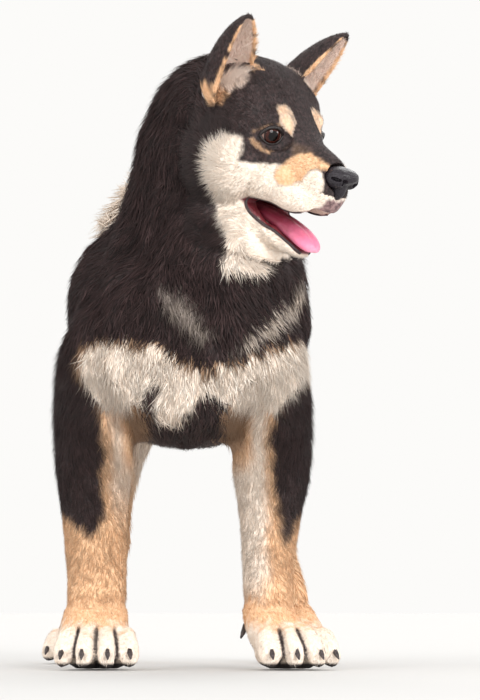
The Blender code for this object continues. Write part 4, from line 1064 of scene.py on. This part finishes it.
# The lid rims: a thin dark bare edge round each eye, drawn out to a point at both corners. It is
# part of the skin's own fold and lies against the ball.
LID_WIDTH, LID_HEIGHT = 0.0176, 0.0122
LID_REACH = 0.0114
LID_POINT = 0.45
LID_THICKNESS = 0.0010
LID_STEPS = 56
lid_finish, wire = finish_of("lid_rim")
feed(wire, Base_Color=wire.noise(700).mix((12, 8, 8), (38, 27, 26)), Roughness=0.4,
     Normal=wire.bump(wire.noise(2400), 0.0002))
for name, side in SIDES.items():
    look, across, over = eye_axes(side)
    turns = np.arange(LID_STEPS) * 2 * math.pi / LID_STEPS
    out = np.cos(turns) * LID_WIDTH / 2
    rise = np.sin(turns) * LID_HEIGHT / 2 * (1 - LID_POINT * np.cos(turns) ** 4)
    front = np.sqrt(LID_REACH**2 - out**2 - rise**2)
    path = eye_at("eye_" + name) + np.stack([front, out, rise], 1) @ np.array((look, across, over))
    heavy = LID_THICKNESS * (1 + 0.35 * np.sin(turns))
    rim = tube("lid_rim_" + name, path, heavy, heavy, look, sides=10, closed=True)
    dress(rim, lid_finish, "coat_black")


# The nose: a damp, pebbled black leather with two comma-shaped nostrils and a groove down its
# middle. It is a finer cast of the frame's nose, lower at its top.
NOSE_SHOULDER, NOSE_PRESS = -0.012, 0.75
nose = copy_of_nodes("nose_leather", ["nose"], 0.0005, 2)
coords = in_head(points_of(nose.data))
coords[:, 2] -= (1 - NOSE_PRESS) * np.maximum(coords[:, 2] - NOSE_SHOULDER, 0)
set_points(nose.data, from_head(coords))
nose.data.shade_smooth()
nose_finish, wire = finish_of("nose_leather")
pebbles = wire.cells(900)
colour = pebbles.between(0.1, 0.6).mix((16, 13, 16), (42, 37, 43))
feed(wire, Base_Color=colour, Roughness=pebbles * 0.25 + 0.26,
     Normal=wire.bump(1 - pebbles, 0.0002, 0.7), Specular_IOR_Level=0.35)
dress(nose, nose_finish, "nose", "nose")


# The lips: the bare, dark, rounded edges of the mouth, one along each side, from the front of the
# upper lip back round the corner and forward along the jaw. They are folds of the skin.
UPPER_LIP = [
    # Millimetres ahead and up on the head
    (40, -46), (33, -48.3), (27, -50.2), (20, -50.2), (13, -48.8), (4, -47.8), (-3, -48.3),
    (-7, -50.5),
]
LOWER_LIP = [
    (-7.8, -53), (-6.5, -56), (-3.3, -59.7), (1, -62.8), (7, -65.4), (15, -67.4), (23, -70.4),
    (31, -73.4), (36, -76), (39.5, -78),
]
UPPER_LIP_WIDTH, LOWER_LIP_WIDTH, LIP_HEIGHT = 0.0008, 0.0015, 0.0008
LIP_REACH = 0.06
lip_line = [(ahead, up, UPPER_LIP_WIDTH) for ahead, up in UPPER_LIP]
lip_line += [(ahead, up, LOWER_LIP_WIDTH) for ahead, up in LOWER_LIP]
lip_finish, wire = finish_of("lip")
feed(wire, Base_Color=wire.noise(600).mix((26, 16, 17), (66, 44, 46)), Roughness=0.38,
     Normal=wire.bump(wire.noise(1500), 0.0003))
for name, side in SIDES.items():
    path, widths = [], []
    for ahead, up, width in smooth_path(lip_line, 5):
        start = from_head((ahead / 1000, side * LIP_REACH, up / 1000))
        hit = surface.ray_cast(start.tolist(), (-side * HEAD_LEFT).tolist(), LIP_REACH)[0]
        if hit is not None:
            path.append(np.array(hit))
            widths.append(width)
    path = np.array(path)
    for _ in range(2):
        path[1:-1] = (path[:-2] + 2 * path[1:-1] + path[2:]) / 4
    lip = tube("lip_" + name, path, widths, LIP_HEIGHT, side * HEAD_LEFT, sides=10)
    dress(lip, lip_finish, "coat_black")


# The tongue: a wet, soft muscle that lies in the jaw and hangs a little over the lower lip, with a
# shallow groove along the middle. It is pink at its rounded tip, and painted shade darkens it to a
# deep red towards its root, inside the mouth.
TONGUE = [
    # Ahead, up, half width, half height
    (-0.0210, -0.0575, 0.0070, 0.0040), (-0.0060, -0.0585, 0.0095, 0.0050),
    (0.0080, -0.0605, 0.0108, 0.0060), (0.0200, -0.0627, 0.0115, 0.0062),
    (0.0300, -0.0655, 0.0118, 0.0062), (0.0370, -0.0682, 0.0114, 0.0056),
    (0.0415, -0.0704, 0.0098, 0.0045), (0.0443, -0.0720, 0.0066, 0.0030),
    (0.0454, -0.0727, 0.0024, 0.0012),
]
TONGUE_SIDES, TONGUE_GROOVE, TONGUE_DROOP = 40, 0.0016, 0.0010
rings = smooth_path(TONGUE, 7)
path = from_head(np.stack([rings[:, 0], 0 * rings[:, 0], rings[:, 1]], 1))
tongue = tube("tongue_flesh", path, rings[:, 2], rings[:, 3], HEAD_UP, sides=TONGUE_SIDES)
coords = in_head(points_of(tongue.data))
share = coords[:, 1] / np.repeat(rings[:, 2], TONGUE_SIDES)
over = np.repeat(in_head(path)[:, 2], TONGUE_SIDES) < coords[:, 2]
coords[:, 2] -= over * TONGUE_GROOVE * np.exp(-(share / 0.2) ** 2) + TONGUE_DROOP * share**2
set_points(tongue.data, from_head(coords))
set_mark(tongue.data, "front", np.repeat(np.linspace(0, 1, len(rings)), TONGUE_SIDES))
tongue_finish, wire = finish_of("tongue")
# Painted shade: the colour darkens from pink at the tip to deep red towards the root, inside the
# mouth
front = wire.mark("front") + (wire.noise(160) - 0.5) * 0.25
colour = front.between(0.25, 0.72).mix((112, 28, 48), (228, 120, 152))
colour = front.between(0.7, 1.0).mix(colour, (242, 160, 186))
grain = wire.cells(1500)
feed(wire, Base_Color=colour, Roughness=grain * 0.25 + 0.3,
     Normal=wire.bump(1 - grain, 0.00025, 0.6), Subsurface_Weight=0.15,
     Subsurface_Radius=(0.006, 0.002, 0.001))
dress(tongue, tongue_finish, "tongue", "tongue")


# The claws: blunt, dark horn, one at the end of each toe and a dewclaw inside each foreleg. Each is
# a smooth cast of the frame's claw.
claw_finish, wire = finish_of("claw")
streaks = wire.noise(700, 4.0)
feed(wire, Base_Color=streaks.between(0.3, 0.75).mix((24, 19, 20), (88, 76, 74)),
     Roughness=streaks * 0.3 + 0.25, Normal=wire.bump(streaks, 0.0003))
for node in [name for name in SOLIDS if "claw" in name]:
    claw = copy_of_nodes(node.replace("claw", "nail"), [node], 0.0004, 2)
    claw.data.shade_smooth()
    dress(claw, claw_finish, "claw", node)
